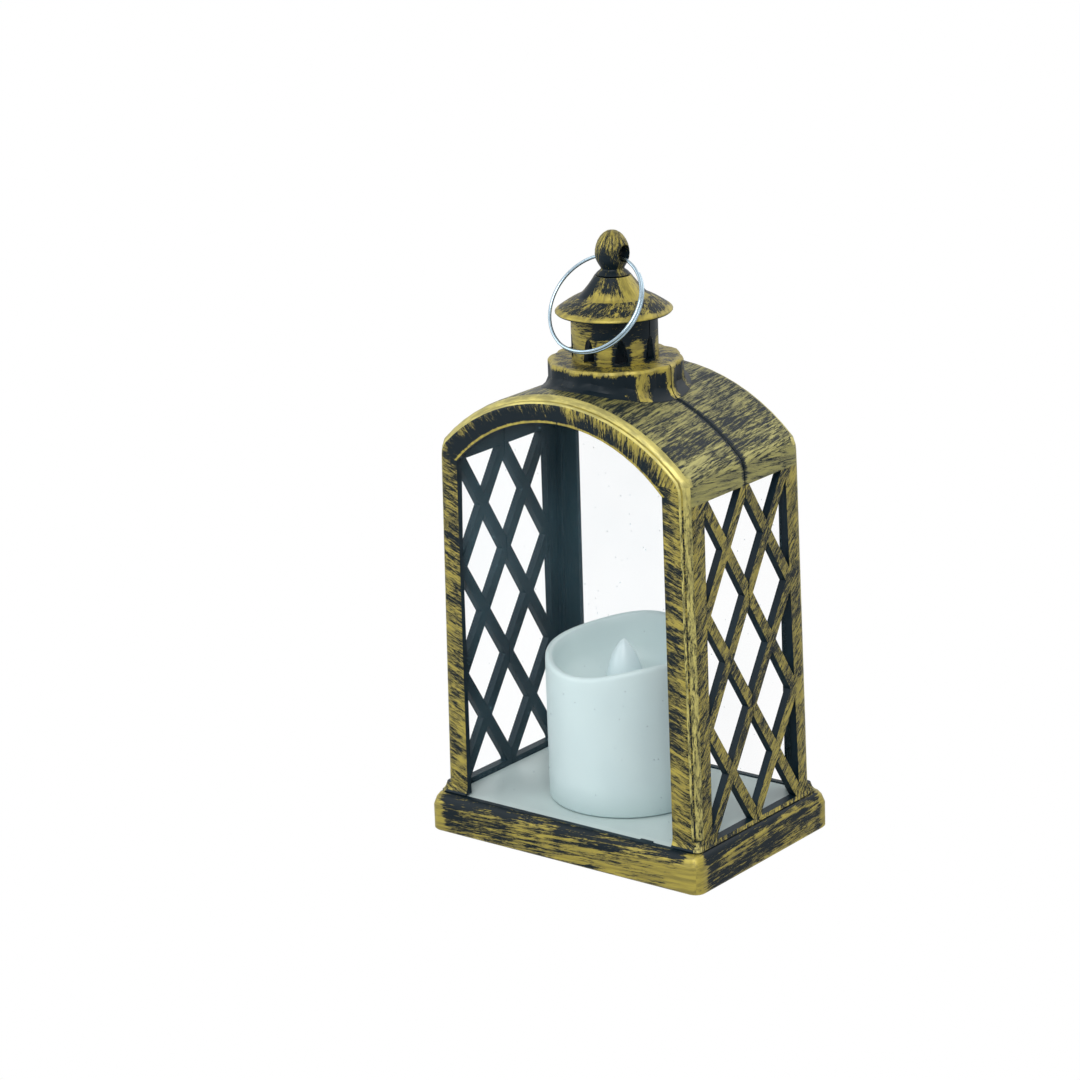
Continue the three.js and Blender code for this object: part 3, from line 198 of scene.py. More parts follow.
def make_gilding():
    group = bpy.data.node_groups.new("Worn gilding", "ShaderNodeTree")
    given, out = group_sockets(
        group,
        [("Stroke", "Vector", None), ("Place", "Vector", None), ("Coverage", "Float", 0.5),
         ("Softness", "Float", 0.07), ("Patchiness", "Float", 0.5), ("Gold", "Color", GOLD)],
        [("Color", "Color"), ("Metallic", "Float"), ("Roughness", "Float"), ("Specular", "Float"),
         ("Height", "Float")],
    )
    patches = bare_patches(group, given["Stroke"], given["Place"])
    shifted = times(group, minus(group, patches, 0.5), given["Patchiness"])
    bias = times(group, minus(group, given["Coverage"], 0.5), 0.5)
    level = plus(group, plus(group, brush_streaks(group, given["Stroke"]), shifted), bias)
    low = minus(group, 0.5, given["Softness"])
    high = plus(group, 0.5, given["Softness"])
    paint = ramp(group, level, low, high)
    thickness = ramp(group, noise(group, given["Stroke"], 0.5, 4.0, 0.7), 0.36, 0.62)
    thin = mixed(group, THIN_PAINT, given["Gold"], GROUND)
    gold = mixed(group, thickness, thin, given["Gold"])
    feed(group, out, {
        "Color": mixed(group, paint, GROUND, gold),
        "Metallic": times(group, paint, PAINT_METAL),
        "Roughness": ramp(group, paint, 0.0, 1.0, GROUND_ROUGHNESS, PAINT_ROUGHNESS),
        "Specular": ramp(group, paint, 0.0, 1.0, GROUND_SPECULAR, PAINT_SPECULAR),
        "Height": paint,
    })
    return group


gilding_group = make_gilding()
print("Gilding group holds", len(gilding_group.nodes), "nodes")

# %% [markdown]
# Each part of the lantern was brushed in a direction of its own. The direction comes from a Mapping node
# that stretches the Object coordinates: many streaks per metre across the brush and few along it. Its turn
# slants the strokes.

# %% A gilded finish
PAINT_HEIGHT = 0.06 * MM


def gilded(name, strokes, cover, turn=(0, 0, 0), softness=0.07, patchiness=0.5, along=None, gold=GOLD):
    """Gold dragged over the ground. strokes are the streaks per metre along X, Y and Z before the turn.

    cover is how much gold there is: a number, or a function that makes a field. along is a function that
    bends the coordinates, so that the strokes follow a form.
    """
    material, tree, shader, place = new_finish(name)
    source = along(tree, place) if along else place
    spacing = tuple(1 / count for count in strokes)
    mapping = node(tree, "ShaderNodeMapping", {"Vector": source, "Scale": spacing, "Rotation": turn},
                   vector_type="TEXTURE")
    inputs = {"Stroke": mapping.outputs[0], "Place": place, "Softness": softness,
              "Patchiness": patchiness, "Gold": gold,
              "Coverage": cover(tree, place) if callable(cover) else cover}
    gild = node(tree, "ShaderNodeGroup", inputs, node_tree=gilding_group).outputs
    feed(tree, shader, {"Base Color": gild["Color"], "Metallic": gild["Metallic"],
                        "Roughness": gild["Roughness"], "Specular IOR Level": gild["Specular"]})
    bumped(tree, shader, gild["Height"], PAINT_HEIGHT, 0.7)
    return material


# %% [markdown]
# Round the arch the brush went across the frame, so its strokes point at the arch's centre. A UV map could
# do that, but has to be laid out by hand. This helper bends the coordinates instead: above the eaves, X
# becomes the way round the arch and Z the distance from its centre, and below them the strokes lie across
# the posts.

# %% Arch coordinates
ROOF_RADIUS = 51.8 * MM
ROOF_TOP = 118.5 * MM
ROOF_CENTRE = ROOF_TOP - ROOF_RADIUS
EAVES = 101 * MM


def split(tree, place):
    """X, Y and Z of a coordinate."""
    return node(tree, "ShaderNodeSeparateXYZ", {0: place}).outputs


def joined(tree, x, y, z):
    """A coordinate from its X, Y and Z."""
    return node(tree, "ShaderNodeCombineXYZ", {0: x, 1: y, 2: z}).outputs[0]


def root_of_squares(tree, a, b):
    return calc(tree, "SQRT", plus(tree, times(tree, a, a), times(tree, b, b)))


def arch_coordinates(tree, place):
    x, y, z = split(tree, place)
    rise = minus(tree, z, ROOF_CENTRE)
    way_round = times(tree, calc(tree, "ARCTAN2", x, rise), ROOF_RADIUS)
    round_arch = joined(tree, way_round, y, root_of_squares(tree, x, rise))
    up_post = joined(tree, z, y, x)
    above = calc(tree, "GREATER_THAN", z, EAVES)
    return node(tree, "ShaderNodeMix", {0: above, 4: up_post, 5: round_arch}, data_type="VECTOR").outputs[1]


# %% [markdown]
# The paint isn't even. On the front it comes in from the outer edge and lies in a thin line along the arch's
# inner edge, and the upper left is nearly bare. The bead is solid gold above and rubbed through on the
# posts. Each of these is a field that leads the coverage.

# %% Cover of the front and its bead
HALF_WIDTH = 39.6 * MM
FOOT = 10.1 * MM
DRAFT = 1.65 / 88.3  # the posts lean in by this much for each unit of height
SPRING = 98.4 * MM  # where the opening's arch starts
INNER_RADIUS = 42.9 * MM
INNER_CENTRE = 69.06 * MM
POST_END = 92 * MM  # from here up to ARCH_START the look changes from post to arch
ARCH_START = 104 * MM


def bead_cover(tree, place):
    return ramp(tree, split(tree, place)[2], POST_END, ARCH_START, 0.56, 1.2)


def groove_cover(tree, place):
    return minus(tree, bead_cover(tree, place), 0.18)


def inner_edge(tree, x, z):
    """A thin line of gold along the inner edge of the arch."""
    beyond = minus(tree, root_of_squares(tree, x, minus(tree, z, INNER_CENTRE)), INNER_RADIUS)
    line = ramp(tree, beyond, 0.3 * MM, 0.8 * MM, 0.8, 0.0)
    return times(tree, line, calc(tree, "GREATER_THAN", z, SPRING))


def front_cover(tree, place):
    x, _, z = split(tree, place)
    post_side = calc(tree, "MULTIPLY_ADD", z, -DRAFT, HALF_WIDTH + DRAFT * FOOT)
    from_side = minus(tree, post_side, calc(tree, "ABSOLUTE", x))
    from_roof = minus(tree, ROOF_RADIUS, root_of_squares(tree, x, minus(tree, z, ROOF_CENTRE)))
    outer = ramp(tree, z, POST_END, ARCH_START, 0.5, 0.6)
    inner = ramp(tree, z, POST_END, ARCH_START, 0.42, 0.3)
    cover = ramp(tree, calc(tree, "MINIMUM", from_side, from_roof), 2.4 * MM, 5.5 * MM, outer, inner)
    left = ramp(tree, x, -12 * MM, 22 * MM, 1.0, 0.0)
    nearly_bare = times(tree, left, ramp(tree, z, 94 * MM, ARCH_START, 0.0, 0.32))
    return larger(tree, minus(tree, cover, nearly_bare), inner_edge(tree, x, z))


# %% Cover of the roof
def roof_cover(tree, place):
    """More gold over the eaves, and little in the seam where the two shells meet."""
    _, y, z = split(tree, place)
    seam = ramp(tree, calc(tree, "ABSOLUTE", y), 0.2 * MM, 1.8 * MM, -0.4, 0.0)
    return plus(tree, ramp(tree, z, 100 * MM, 108 * MM, 0.6, 0.43), seam)


# %% Finishes of the housing
front_strokes = gilded("front_strokes", (2100, 500, 250), front_cover, (0, -0.35, 0), patchiness=0.7,
                       along=arch_coordinates)
# The bead's lighter gold is a painted highlight.
bead_gold = gilded("bead_gold", (350, 1200, 1500), bead_cover, softness=0.12, patchiness=0.3,
                   along=arch_coordinates, gold=PAINTED_HIGHLIGHT_GOLD)
groove_strokes = gilded("groove_strokes", (900, 900, 900), groove_cover)
# The roof's paler gold is a painted sky reflection.
roof_streaks = gilded("roof_streaks", (1500, 130, 500), roof_cover, (0, 0, 0.12), 0.08, 0.6,
                      along=arch_coordinates, gold=SKY_REFLECTION_GOLD)
side_strokes = gilded("side_strokes", (600, 300, 1900), 0.5, (0.75, 0, 0), patchiness=0.6)
# Edge gold is paint built up on the edges, in a lighter gold that is a painted highlight.
edge_gold = gilded("edge_gold", (1100, 1100, 1100), 0.75, softness=0.1, patchiness=0.6, gold=PAINTED_HIGHLIGHT_GOLD)
print("The opening's arch starts", round(SPRING / MM, 1), "mm up")

# %% [markdown]
# The collar is dark on its twelve flats and gold along its rim, and two of its ridges are gold all the way
# down. The drum has gold low down between its vents, and the egg on top is gold above and dark below. Each
# is the same finish, led by a wave round the axis and by the height. The strokes follow the round form: X
# becomes the way round the axis and Y the distance from it.


# %% Round coordinates
def azimuth_of(tree, place):
    """Angle round the vertical axis, counted from the front towards +X."""
    x, y, _ = split(tree, place)
    return calc(tree, "ARCTAN2", x, times(tree, y, -1.0))


def distance(tree, place):
    """Distance from the vertical axis."""
    x, y, _ = split(tree, place)
    return root_of_squares(tree, x, y)


def round_coordinates(tree, place):
    way_round = times(tree, azimuth_of(tree, place), 10 * MM)
    return joined(tree, way_round, distance(tree, place), split(tree, place)[2])


# %% Places round the axis
def azimuth_wave(tree, place, count, offset=0.0):
    """0 to 1, with 1 on evenly spaced azimuths."""
    turned_by = times(tree, minus(tree, azimuth_of(tree, place), offset), count / 2)
    return calc(tree, "ABSOLUTE", calc(tree, "COSINE", turned_by))


def facing(tree, place, azimuth, wide, narrow):
    """1 near one azimuth in degrees, counted from the front, and 0 away from it."""
    near_to = calc(tree, "COSINE", minus(tree, azimuth_of(tree, place), math.radians(azimuth)))
    return ramp(tree, near_to, math.cos(math.radians(wide)), math.cos(math.radians(narrow)))


# %% Cover of the collar and the drum
COLLAR_TOP = 123.3 * MM
COLLAR_RIDGES = 12
DRUM_VENTS = 8


def collar_cover(tree, place):
    ridge = ramp(tree, azimuth_wave(tree, place, COLLAR_RIDGES), 0.6, 1.0, 0.0, 0.62)
    rubbed = times(tree, ridge, facing(tree, place, 85, 55, 20))
    rim = ramp(tree, split(tree, place)[2], COLLAR_TOP - 2.2 * MM, COLLAR_TOP, 0.0, 0.95)
    outer = ramp(tree, distance(tree, place), 14.5 * MM, 16.5 * MM, 0.5, 1.0)
    return larger(tree, rubbed, times(tree, rim, outer))


def drum_cover(tree, place):
    wave = azimuth_wave(tree, place, DRUM_VENTS, math.radians(180 / DRUM_VENTS))
    between = ramp(tree, wave, 0.5, 0.95, 0.0, 0.72)
    low_down = ramp(tree, split(tree, place)[2], 126.5 * MM, 131 * MM, 1.0, 0.35)
    left = times(tree, facing(tree, place, -25, 45, 10), 0.6)
    return larger(tree, larger(tree, times(tree, between, low_down), left), 0.16)


# %% Cover of the cap and the egg
def brim_cover(tree, place):
    return ramp(tree, distance(tree, place), 13 * MM, 14.2 * MM, 0.42, 0.9)


def bell_cover(tree, place):
    highlight_fading_up = ramp(tree, split(tree, place)[2], 139 * MM, 141.5 * MM, 0.9, 0.2)
    # The gold patch low on the front is a painted highlight that fades upwards.
    front = times(tree, facing(tree, place, 20, 50, 15), highlight_fading_up)
    right = times(tree, facing(tree, place, 88, 48, 15), 0.8)
    return larger(tree, larger(tree, front, right), 0.2)


def egg_cover(tree, place):
    above = ramp(tree, split(tree, place)[2], 147 * MM, 154 * MM, 0.1, 0.55)
    right = times(tree, facing(tree, place, 75, 40, 10), 0.42)
    return larger(tree, above, right)


# %% Finishes of the round parts
collar_finish = gilded("collar_finish", (1500, 500, 330), collar_cover, patchiness=0.8,
                       along=round_coordinates)
drum_finish = gilded("drum_finish", (260, 500, 1700), drum_cover, patchiness=0.7, along=round_coordinates)
brim_finish = gilded("brim_finish", (1500, 400, 500), brim_cover, (0, 0, 0.6), patchiness=0.6,
                     along=round_coordinates)
bell_finish = gilded("bell_finish", (1500, 400, 400), bell_cover, patchiness=0.8, along=round_coordinates)
egg_finish = gilded("egg_finish", (1300, 500, 330), egg_cover, (0, 0.4, 0), patchiness=0.8,
                    along=round_coordinates)
print("The collar has", COLLAR_RIDGES, "ridges and the drum", DRUM_VENTS, "vents")

# %% [markdown]
# The plinth was brushed along its length, front and sides alike, in long streaks with bare patches. Its
# corners were rubbed over several times, so they are almost solid gold. Two finishes differ only in the
# direction of their strokes, and the product of two ramps, one along X and one along Y, marks the corners.

# %% Plinth finishes
PLINTH_HALF = (42 * MM, 28.6 * MM)
PLINTH_EDGE = 8.3 * MM  # the bevelled top starts here, and has less gold
ALONG, ACROSS, UPRIGHT = 110, 900, 1700
VERY_PATCHY = 1.3


def corner_cover(tree, place):
    x, y, z = split(tree, place)
    half_x, half_y = PLINTH_HALF
    near_x = ramp(tree, calc(tree, "ABSOLUTE", x), half_x - 7 * MM, half_x - 1 * MM)
    near_y = ramp(tree, calc(tree, "ABSOLUTE", y), half_y - 6 * MM, half_y - 1 * MM)
    corner = ramp(tree, times(tree, near_x, near_y), 0.0, 1.0, 0.45, 1.1)
    on_top = ramp(tree, z, PLINTH_EDGE - 0.3 * MM, PLINTH_EDGE + 0.3 * MM, 0.0, -0.16)
    return plus(tree, corner, on_top)


plinth_long = gilded("plinth_long", (ALONG, ACROSS, UPRIGHT), corner_cover, (0, -0.06, 0),
                     patchiness=VERY_PATCHY)
plinth_side = gilded("plinth_side", (ACROSS, ALONG, UPRIGHT), corner_cover, (0.06, 0, 0),
                     patchiness=VERY_PATCHY)
print("Streaks on the plinth are about", round(1000 / ALONG), "mm long")

# %% [markdown]
# The insides were never painted. Moulded plastic has a fine spark-eroded grain and a soft, uneven sheen. The
# grain is far too small to model, so it is a bump, and the sheen is a slow change in roughness. One group
# serves the dark housing, the base cover and the candle.


# %% Moulded plastic
def make_grain():
    group = bpy.data.node_groups.new("Moulded grain", "ShaderNodeTree")
    given, out = group_sockets(
        group,
        [("Place", "Vector", None), ("Light", "Color", None), ("Shade", "Color", None),
         ("Roughness", "Float", 0.5)],
        [("Color", "Color"), ("Roughness", "Float"), ("Height", "Float")],
    )
    slow = noise(group, given["Place"], 45.0)
    tone = ramp(group, slow, 0.3, 0.7)
    wander = times(group, minus(group, slow, 0.5), 0.2)
    feed(group, out, {
        "Color": mixed(group, tone, given["Shade"], given["Light"]),
        "Roughness": plus(group, given["Roughness"], wander),
        "Height": noise(group, given["Place"], 3200.0, 2.0, 0.6),
    })
    return group


grain_group = make_grain()
print("Grain group holds", len(grain_group.nodes), "nodes")


# %% Plastic finishes
COARSE_GRAIN = 0.012 * MM
FINE_GRAIN = 0.008 * MM


def moulded(name, light, shade, roughness, depth=COARSE_GRAIN, **values):
    material, tree, shader, place = new_finish(name, **values)
    inputs = {"Place": place, "Light": light, "Shade": shade, "Roughness": roughness}
    grain = node(tree, "ShaderNodeGroup", inputs, node_tree=grain_group).outputs
    feed(tree, shader, {"Base Color": grain["Color"], "Roughness": grain["Roughness"]})
    bumped(tree, shader, grain["Height"], depth)
    return material


bare_plastic = moulded("bare_plastic", linear(17, 35, 44), linear(11, 25, 33), 0.42,
                       Specular_IOR_Level=GROUND_SPECULAR)
cover_plastic = moulded("cover_plastic", linear(44, 50, 54), linear(34, 40, 44), 0.55)
candle_white = moulded("candle_white", linear(208, 224, 223), linear(201, 217, 217), 0.42, FINE_GRAIN)
# The floor plate is the candle's white made a little darker: painted shade under the roof.
floor_white_painted_shade = moulded("floor_white_painted_shade", linear(196, 209, 206), linear(188, 201, 199), 0.4, FINE_GRAIN)
flame_white = moulded("flame_white", linear(218, 234, 236), linear(212, 228, 231), 0.35, 0.005 * MM)
print("Materials made:", len(bpy.data.materials))

# %% [markdown]
# Light shows a moulding by its edges, so a sharp CAD edge looks false. A copy of each gilded piece is merged
# and its flat faces are dissolved, each face gets a finish by a rule, and a Bevel modifier rounds the edges.
# The bevel faces take the last finish, edge gold, except inside, where they stay bare.

# %% Copies of CAD pieces
MERGE_DISTANCE = 0.002 * MM
FLAT_ANGLE = math.radians(0.6)


def bm_from(node_name):
    """The node's triangles as one joined mesh with its flat areas dissolved."""
    source = bmesh.new()
    source.from_mesh(frame["nodes"][node_name].data)
    bmesh.ops.remove_doubles(source, verts=source.verts, dist=MERGE_DISTANCE)
    bmesh.ops.dissolve_limit(source, angle_limit=FLAT_ANGLE, verts=source.verts, edges=source.edges)
    source.normal_update()
    return source


def placed(name, data):
    """An object in the scene for a mesh, a lamp or a camera."""
    piece = bpy.data.objects.new(name, data)
    bpy.context.scene.collection.objects.link(piece)
    return piece


def formed(name, form, *finishes):
    """An object with its finishes from a bmesh, which is freed."""
    mesh = bpy.data.meshes.new(name)
    form.to_mesh(mesh)
    form.free()
    for finish in finishes:
        mesh.materials.append(finish)
    return placed(name, mesh)


def tell(piece):
    print(piece.name, "has", len(piece.data.polygons), "faces")


def refinished(mesh, finish):
    """Gives a mesh one finish in place of its own."""
    mesh.materials.clear()
    mesh.materials.append(finish)


def baked(piece):
    """Turns a piece's modifiers into plain mesh."""
    depsgraph = bpy.context.evaluated_depsgraph_get()
    result = bpy.data.meshes.new_from_object(piece.evaluated_get(depsgraph))
    piece.modifiers.clear()
    piece.data = result
    return piece


# %% Bevelled copies
def dressed(node_name, name, finishes, rule, width, body="lantern", bevel_rule=None, angle=32):
    """A merged, bevelled copy of a CAD node that stands for it.

    rule(centre in mm, normal) gives a face's finish, and bevel_rule does the same for the bevel faces.
    """
    source = bm_from(node_name)
    for face in source.faces:
        face.material_index = rule(face.calc_center_median() / MM, face.normal)
        face.smooth = True
    piece = formed(name, source, *finishes)
    last = len(finishes) - 1
    bevel = piece.modifiers.new("Bevel", "BEVEL")
    bevel.width = width
    bevel.segments = 2
    bevel.limit_method = "ANGLE"
    bevel.angle_limit = math.radians(angle)
    bevel.material = last
    weighted = piece.modifiers.new("Weighted normals", "WEIGHTED_NORMAL")
    weighted.keep_sharp = True
    baked(piece)
    if bevel_rule:
        for face in piece.data.polygons:
            if face.material_index == last:
                face.material_index = bevel_rule(Vector(face.center) / MM, Vector(face.normal))
    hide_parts(node_name)
    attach(piece, body)
    tell(piece)
    return piece


# %% [markdown]
# The housing is two half shells, and one rule serves both. It asks how far a face lies inside the outline
# and behind the front, and which way it looks. That sorts the faces into the flat front, the bead and its
# groove, the roof, the lattice, the collar, the drum and the bare inside. They could be picked by hand, but
# a rule still holds when the CAD model changes.

# %% Where a face is
HALF_DEPTH = 25.2
HOUSING_EAVES = 102  # mm, above it the outline is the arch


def inset_at(point):
    """How far a point lies inside the housing's outline, seen from the front, in mm."""
    if point.z > HOUSING_EAVES:
        return ROOF_RADIUS / MM - math.hypot(point.x, point.z - ROOF_CENTRE / MM)
    return HALF_WIDTH / MM - DRAFT * (point.z - FOOT / MM) - abs(point.x)


def outward_at(point, normal):
    """1 where a face looks away from the housing's middle, -1 where it looks in."""
    if point.z > HOUSING_EAVES:
        away = Vector((point.x, 0, point.z - ROOF_CENTRE / MM)).normalized()
    else:
        away = Vector((math.copysign(1, point.x), 0, 0))
    return normal.dot(away)


def radial_at(point, normal):
    """1 where a face looks away from the vertical axis, -1 where it looks towards it."""
    return (normal.x * point.x + normal.y * point.y) / max(math.hypot(point.x, point.y), 0.1)


# %% Rules for the housing's faces
COLLAR_REACH = 18.6
DRUM_REACH = 11
DRUM_FOOT = COLLAR_TOP / MM + 0.3
FRONT_SETBACK = 0.6
GROOVE_SETBACKS = (1, 1.45)
SIDE_SETBACK = 1.6
BEAD_SETBACK = 4.2
BEAD_INSET = 2.7
WALL_INSET = 1
ROOF_FOOT = HOUSING_EAVES - 5.6
BARE, FRONT, BEAD, GROOVE, ROOF, SIDE, COLLAR, DRUM, EDGE = range(9)
housing_finishes = [bare_plastic, front_strokes, bead_gold, groove_strokes, roof_streaks, side_strokes,
                    collar_finish, drum_finish, edge_gold]


def housing_rule(point, normal):
    reach = math.hypot(point.x, point.y)
    inset = inset_at(point)
    setback = HALF_DEPTH - abs(point.y)
    forward = normal.y * math.copysign(1, point.y)
    radial = radial_at(point, normal)
    if reach < DRUM_REACH and point.z > DRUM_FOOT:
        return DRUM if radial > 0.3 or normal.z > 0.5 else BARE
    if reach < COLLAR_REACH and inset < -0.1:
        return COLLAR if normal.z > 0.5 or (radial > -0.3 and normal.z > -0.5) else BARE
    if setback < FRONT_SETBACK and forward > 0.8:
        return FRONT
    outward = outward_at(point, normal)
    flat_side = outward > 0.95 and setback > SIDE_SETBACK
    at_bead = setback < BEAD_SETBACK and inset < BEAD_INSET and not flat_side
    if at_bead and (forward > 0.02 or outward > 0.3):
        return GROOVE if GROOVE_SETBACKS[0] < setback < GROOVE_SETBACKS[1] else BEAD
    if outward > 0.6 and inset < WALL_INSET:
        return ROOF if point.z > ROOF_FOOT else SIDE
    return BARE


def housing_bevel_rule(point, normal):
    outer = outward_at(point, normal) > 0.35 and inset_at(point) < WALL_INSET
    front = normal.y * math.copysign(1, point.y) > 0.5 and HALF_DEPTH - abs(point.y) < 1
    above = inset_at(point) < -0.3
    inside = above and (radial_at(point, normal) < -0.2 or normal.z < -0.5)
    if inside or not (outer or front or above):
        return BARE
    return COLLAR if above and point.z > COLLAR_TOP / MM + 1 else EDGE


# %% Housing
for side in ("front", "back"):
    shell = dressed(f"{side}_shell", f"{side}_housing", housing_finishes, housing_rule, 0.28 * MM,
                    bevel_rule=housing_bevel_rule)

# %% [markdown]
# The plinth is the frame that the housing stands in. It is made the same way: its long and short sides get
# the two plinth finishes, and its inside and underside stay bare.

# %% Plinth
PLINTH_OPENING = (39.2, 25.2)
PLINTH_INSIDE = (40.4, 27)


def plinth_rule(point, normal):
    across, deep = abs(point.x), abs(point.y)
    outside = max(across - PLINTH_OPENING[0], deep - PLINTH_OPENING[1]) > 0.2 and point.z > -0.1
    inward = normal.x * math.copysign(1, point.x) < -0.5 or normal.y * math.copysign(1, point.y) < -0.5
    overhead = across < PLINTH_INSIDE[0] and deep < PLINTH_INSIDE[1] and normal.z < -0.5
    if not outside or overhead or inward or normal.z < -0.9:
        return 0
    return 1 if abs(normal.y) > abs(normal.x) else 2


plinth = dressed("plinth", "plinth_gilded", [bare_plastic, plinth_long, plinth_side, edge_gold],
                 plinth_rule, 0.35 * MM, bevel_rule=lambda p, n: 3 if plinth_rule(p, n) else 0)

# %% [markdown]
# The cap is a brim with a bell on it, and the finial is an egg with a cross hole for the ring. The cap's
# finish changes where the bell rises from the brim. Its inside and the finial's pin stay bare.

# %% Cap and finial
BRIM_FOOT = 134.5
BELL_FOOT = 138.8
CAP_BORE = 2.2
FINIAL_FOOT = 144.15


def cap_rule(point, normal):
    inside = normal.z < -0.3 or radial_at(point, normal) < -0.2
    if inside or point.z < BRIM_FOOT or math.hypot(point.x, point.y) < CAP_BORE:
        return 0
    return 2 if point.z > BELL_FOOT else 1


def finial_rule(point, normal):
    return 0 if point.z < FINIAL_FOOT else 1


cap = dressed("cap", "bell_cap", [bare_plastic, brim_finish, bell_finish, edge_gold], cap_rule, 0.2 * MM,
              bevel_rule=lambda p, n: 3 if cap_rule(p, n) else 0, angle=45)
finial = dressed("finial", "egg_finial", [bare_plastic, egg_finish, egg_finish], finial_rule, 0.15 * MM,
                 angle=45)

# %% [markdown]
# The candle is a thin moulded cup. Its rim is higher on one side, as if it had burnt down, and dips in waves.
# It could be sculpted, but a turned profile keeps it truly round: each point near the rim is then lifted by a
# tilt and two waves round the azimuth.


# %% Turned shapes
def turned(name, profile, sides, finish, rise=None):
    """Surface of revolution about the vertical axis. profile holds (radius, height, share of the rise)."""
    form = bmesh.new()
    rings = []
    for step in range(sides):
        azimuth = 2 * math.pi * step / sides
        lift = rise(azimuth) if rise else 0
        ring = [form.verts.new((r * math.sin(azimuth), -r * math.cos(azimuth), z + share * lift))
                for r, z, share in profile]
        rings.append(ring)
    for here, there in zip(rings, rings[1:] + rings[:1]):
        for i in range(len(profile) - 1):
            form.faces.new((here[i], there[i], there[i + 1], here[i + 1]))
    bmesh.ops.remove_doubles(form, verts=form.verts, dist=0.001 * MM)
    bmesh.ops.recalc_face_normals(form, faces=form.faces)
    for face in form.faces:
        face.smooth = True
    return formed(name, form, finish)


# %% Candle profile
FLOOR_TOP = 9.6 * MM
CANDLE_RADIUS = 19.9 * MM
CANDLE_INSIDE = CANDLE_RADIUS - 1.8 * MM
RIM = FLOOR_TOP + 39.1 * MM
BOWL = FLOOR_TOP + 27.4 * MM
FLAME_HOLE = 5.1 * MM
RIM_WAVES = ((2.2, 186), (0.82, 39), (0.82, 59))  # height in mm and azimuth of the peak
OUTER_RISE = ((9, 0.12), (5, 0.5), (1.5, 1))  # mm below the rim, and share of the rise
INNER_RISE = ((0.7, 2.6, 0.85), (1.4, 6.5, 0.35))  # mm inwards, mm below the rim, share of the rise
BOWL_TOP = ((3, 3.2), (5, 1.2), (8.5, 0.3))  # mm inwards, mm above the bowl's middle
BOWL_UNDERSIDE = ((8.5, -1.3), (3, -0.3), (0, 1.8))
candle_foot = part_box("candle_body")[0].z


def rim_rise(azimuth):
    waves = enumerate(RIM_WAVES, 1)
    return MM * sum(high * math.cos(n * (azimuth - math.radians(peak))) for n, (high, peak) in waves)


def candle_profile():
    wall = RIM - candle_foot - 9 * MM
    points = [(CANDLE_RADIUS - 0.4 * MM, candle_foot, 0), (CANDLE_RADIUS, candle_foot + 0.4 * MM, 0)]
    points += [(CANDLE_RADIUS, candle_foot + share * wall, 0) for share in (0.25, 0.5, 0.75)]
    points += [(CANDLE_RADIUS, RIM - below * MM, share) for below, share in OUTER_RISE]
    for step in range(1, 8):
        turn = math.pi * step / 8
        points.append((CANDLE_RADIUS - MM * (1 - math.cos(turn)), RIM - 1.2 * MM * (1 - math.sin(turn)), 1))
    points += [(CANDLE_INSIDE - inward * MM, RIM - below * MM, share) for inward, below, share in INNER_RISE]
    points += [(CANDLE_INSIDE - inward * MM, BOWL + up * MM, 0) for inward, up in BOWL_TOP]
    points += [(FLAME_HOLE + 0.3 * MM, BOWL, 0), (FLAME_HOLE, BOWL - 0.3 * MM, 0)]
    points.append((FLAME_HOLE, BOWL - 1.5 * MM, 0))
    points += [(CANDLE_INSIDE - inward * MM, BOWL + up * MM, 0) for inward, up in BOWL_UNDERSIDE]
    points.append((CANDLE_INSIDE, candle_foot, 0))
    return points + points[:1]


# %% Candle
candle = turned("led_candle", candle_profile(), 144, candle_white, rim_rise)
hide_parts("candle_body")
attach(candle, "lantern")
tell(candle)

# %% [markdown]
# The flame stands in the middle of the bowl, a hollow tip over the LED. It is turned as well: its outline is
# a half ellipse drawn to a point, and the inside is a plain bore.

# %% Flame
FLAME_RADIUS = 4.8 * MM
FLAME_BORE = 3.4 * MM
FLANGE_RADIUS = 6.2 * MM
POINTEDNESS = 0.75  # 0.5 gives an ellipse, more gives a sharper tip
flame_low, flame_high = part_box("flame_diffuser")


def flame_profile():
    base = BOWL + 1.2 * MM
    flange_top = flame_low.z + 1.2 * MM
    ceiling = flame_low.z + 8.3 * MM
    points = [(0, ceiling, 0), (FLAME_BORE / 2, ceiling - 0.5 * MM, 0), (FLAME_BORE, ceiling - 2 * MM, 0),
              (FLAME_BORE, flame_low.z, 0), (FLANGE_RADIUS, flame_low.z, 0), (FLANGE_RADIUS, flange_top, 0),
              (FLAME_RADIUS, flange_top, 0), (FLAME_RADIUS, base, 0)]
    for step in range(1, 20):
        share = math.sin(step / 20 * math.pi / 2)
        height = base + share * (flame_high.z - base)
        points.append((FLAME_RADIUS * (1 - share**2) ** POINTEDNESS, height, 0))
    return points + [(0, flame_high.z, 0)]


flame = turned("flame_tip", flame_profile(), 64, flame_white)
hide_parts("flame_diffuser")
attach(flame, "lantern")
tell(flame)

# %% [markdown]
# The floor that the candle stands on is a glossy white plate. It keeps its CAD shape, with small bevels so
# that its front edge catches light.

# %% Floor plate
# Its white carries painted shade from the roof.
plate = dressed("floor_plate", "white_floor", [floor_white_painted_shade, floor_white_painted_shade], lambda p, n: 0, 0.25 * MM)

# %% [markdown]
# The ring, the screws and the battery cell are metal. A metal's look lies in its reflections, so its colour
# and its roughness wander a little with fine noise, and there is no bump.


# %% Metal
def metal(name, clean, worn, roughness, marks, detail):
    """Metal whose roughness runs between two values. marks is the noise's scale."""
    material, tree, shader, place = new_finish(name, Metallic=1.0)
    wear = noise(tree, place, marks, detail, 0.6)
    feed(tree, shader, {"Base Color": mixed(tree, wear, clean, worn),
                        "Roughness": ramp(tree, wear, 0.2, 0.8, *roughness)})
    return material


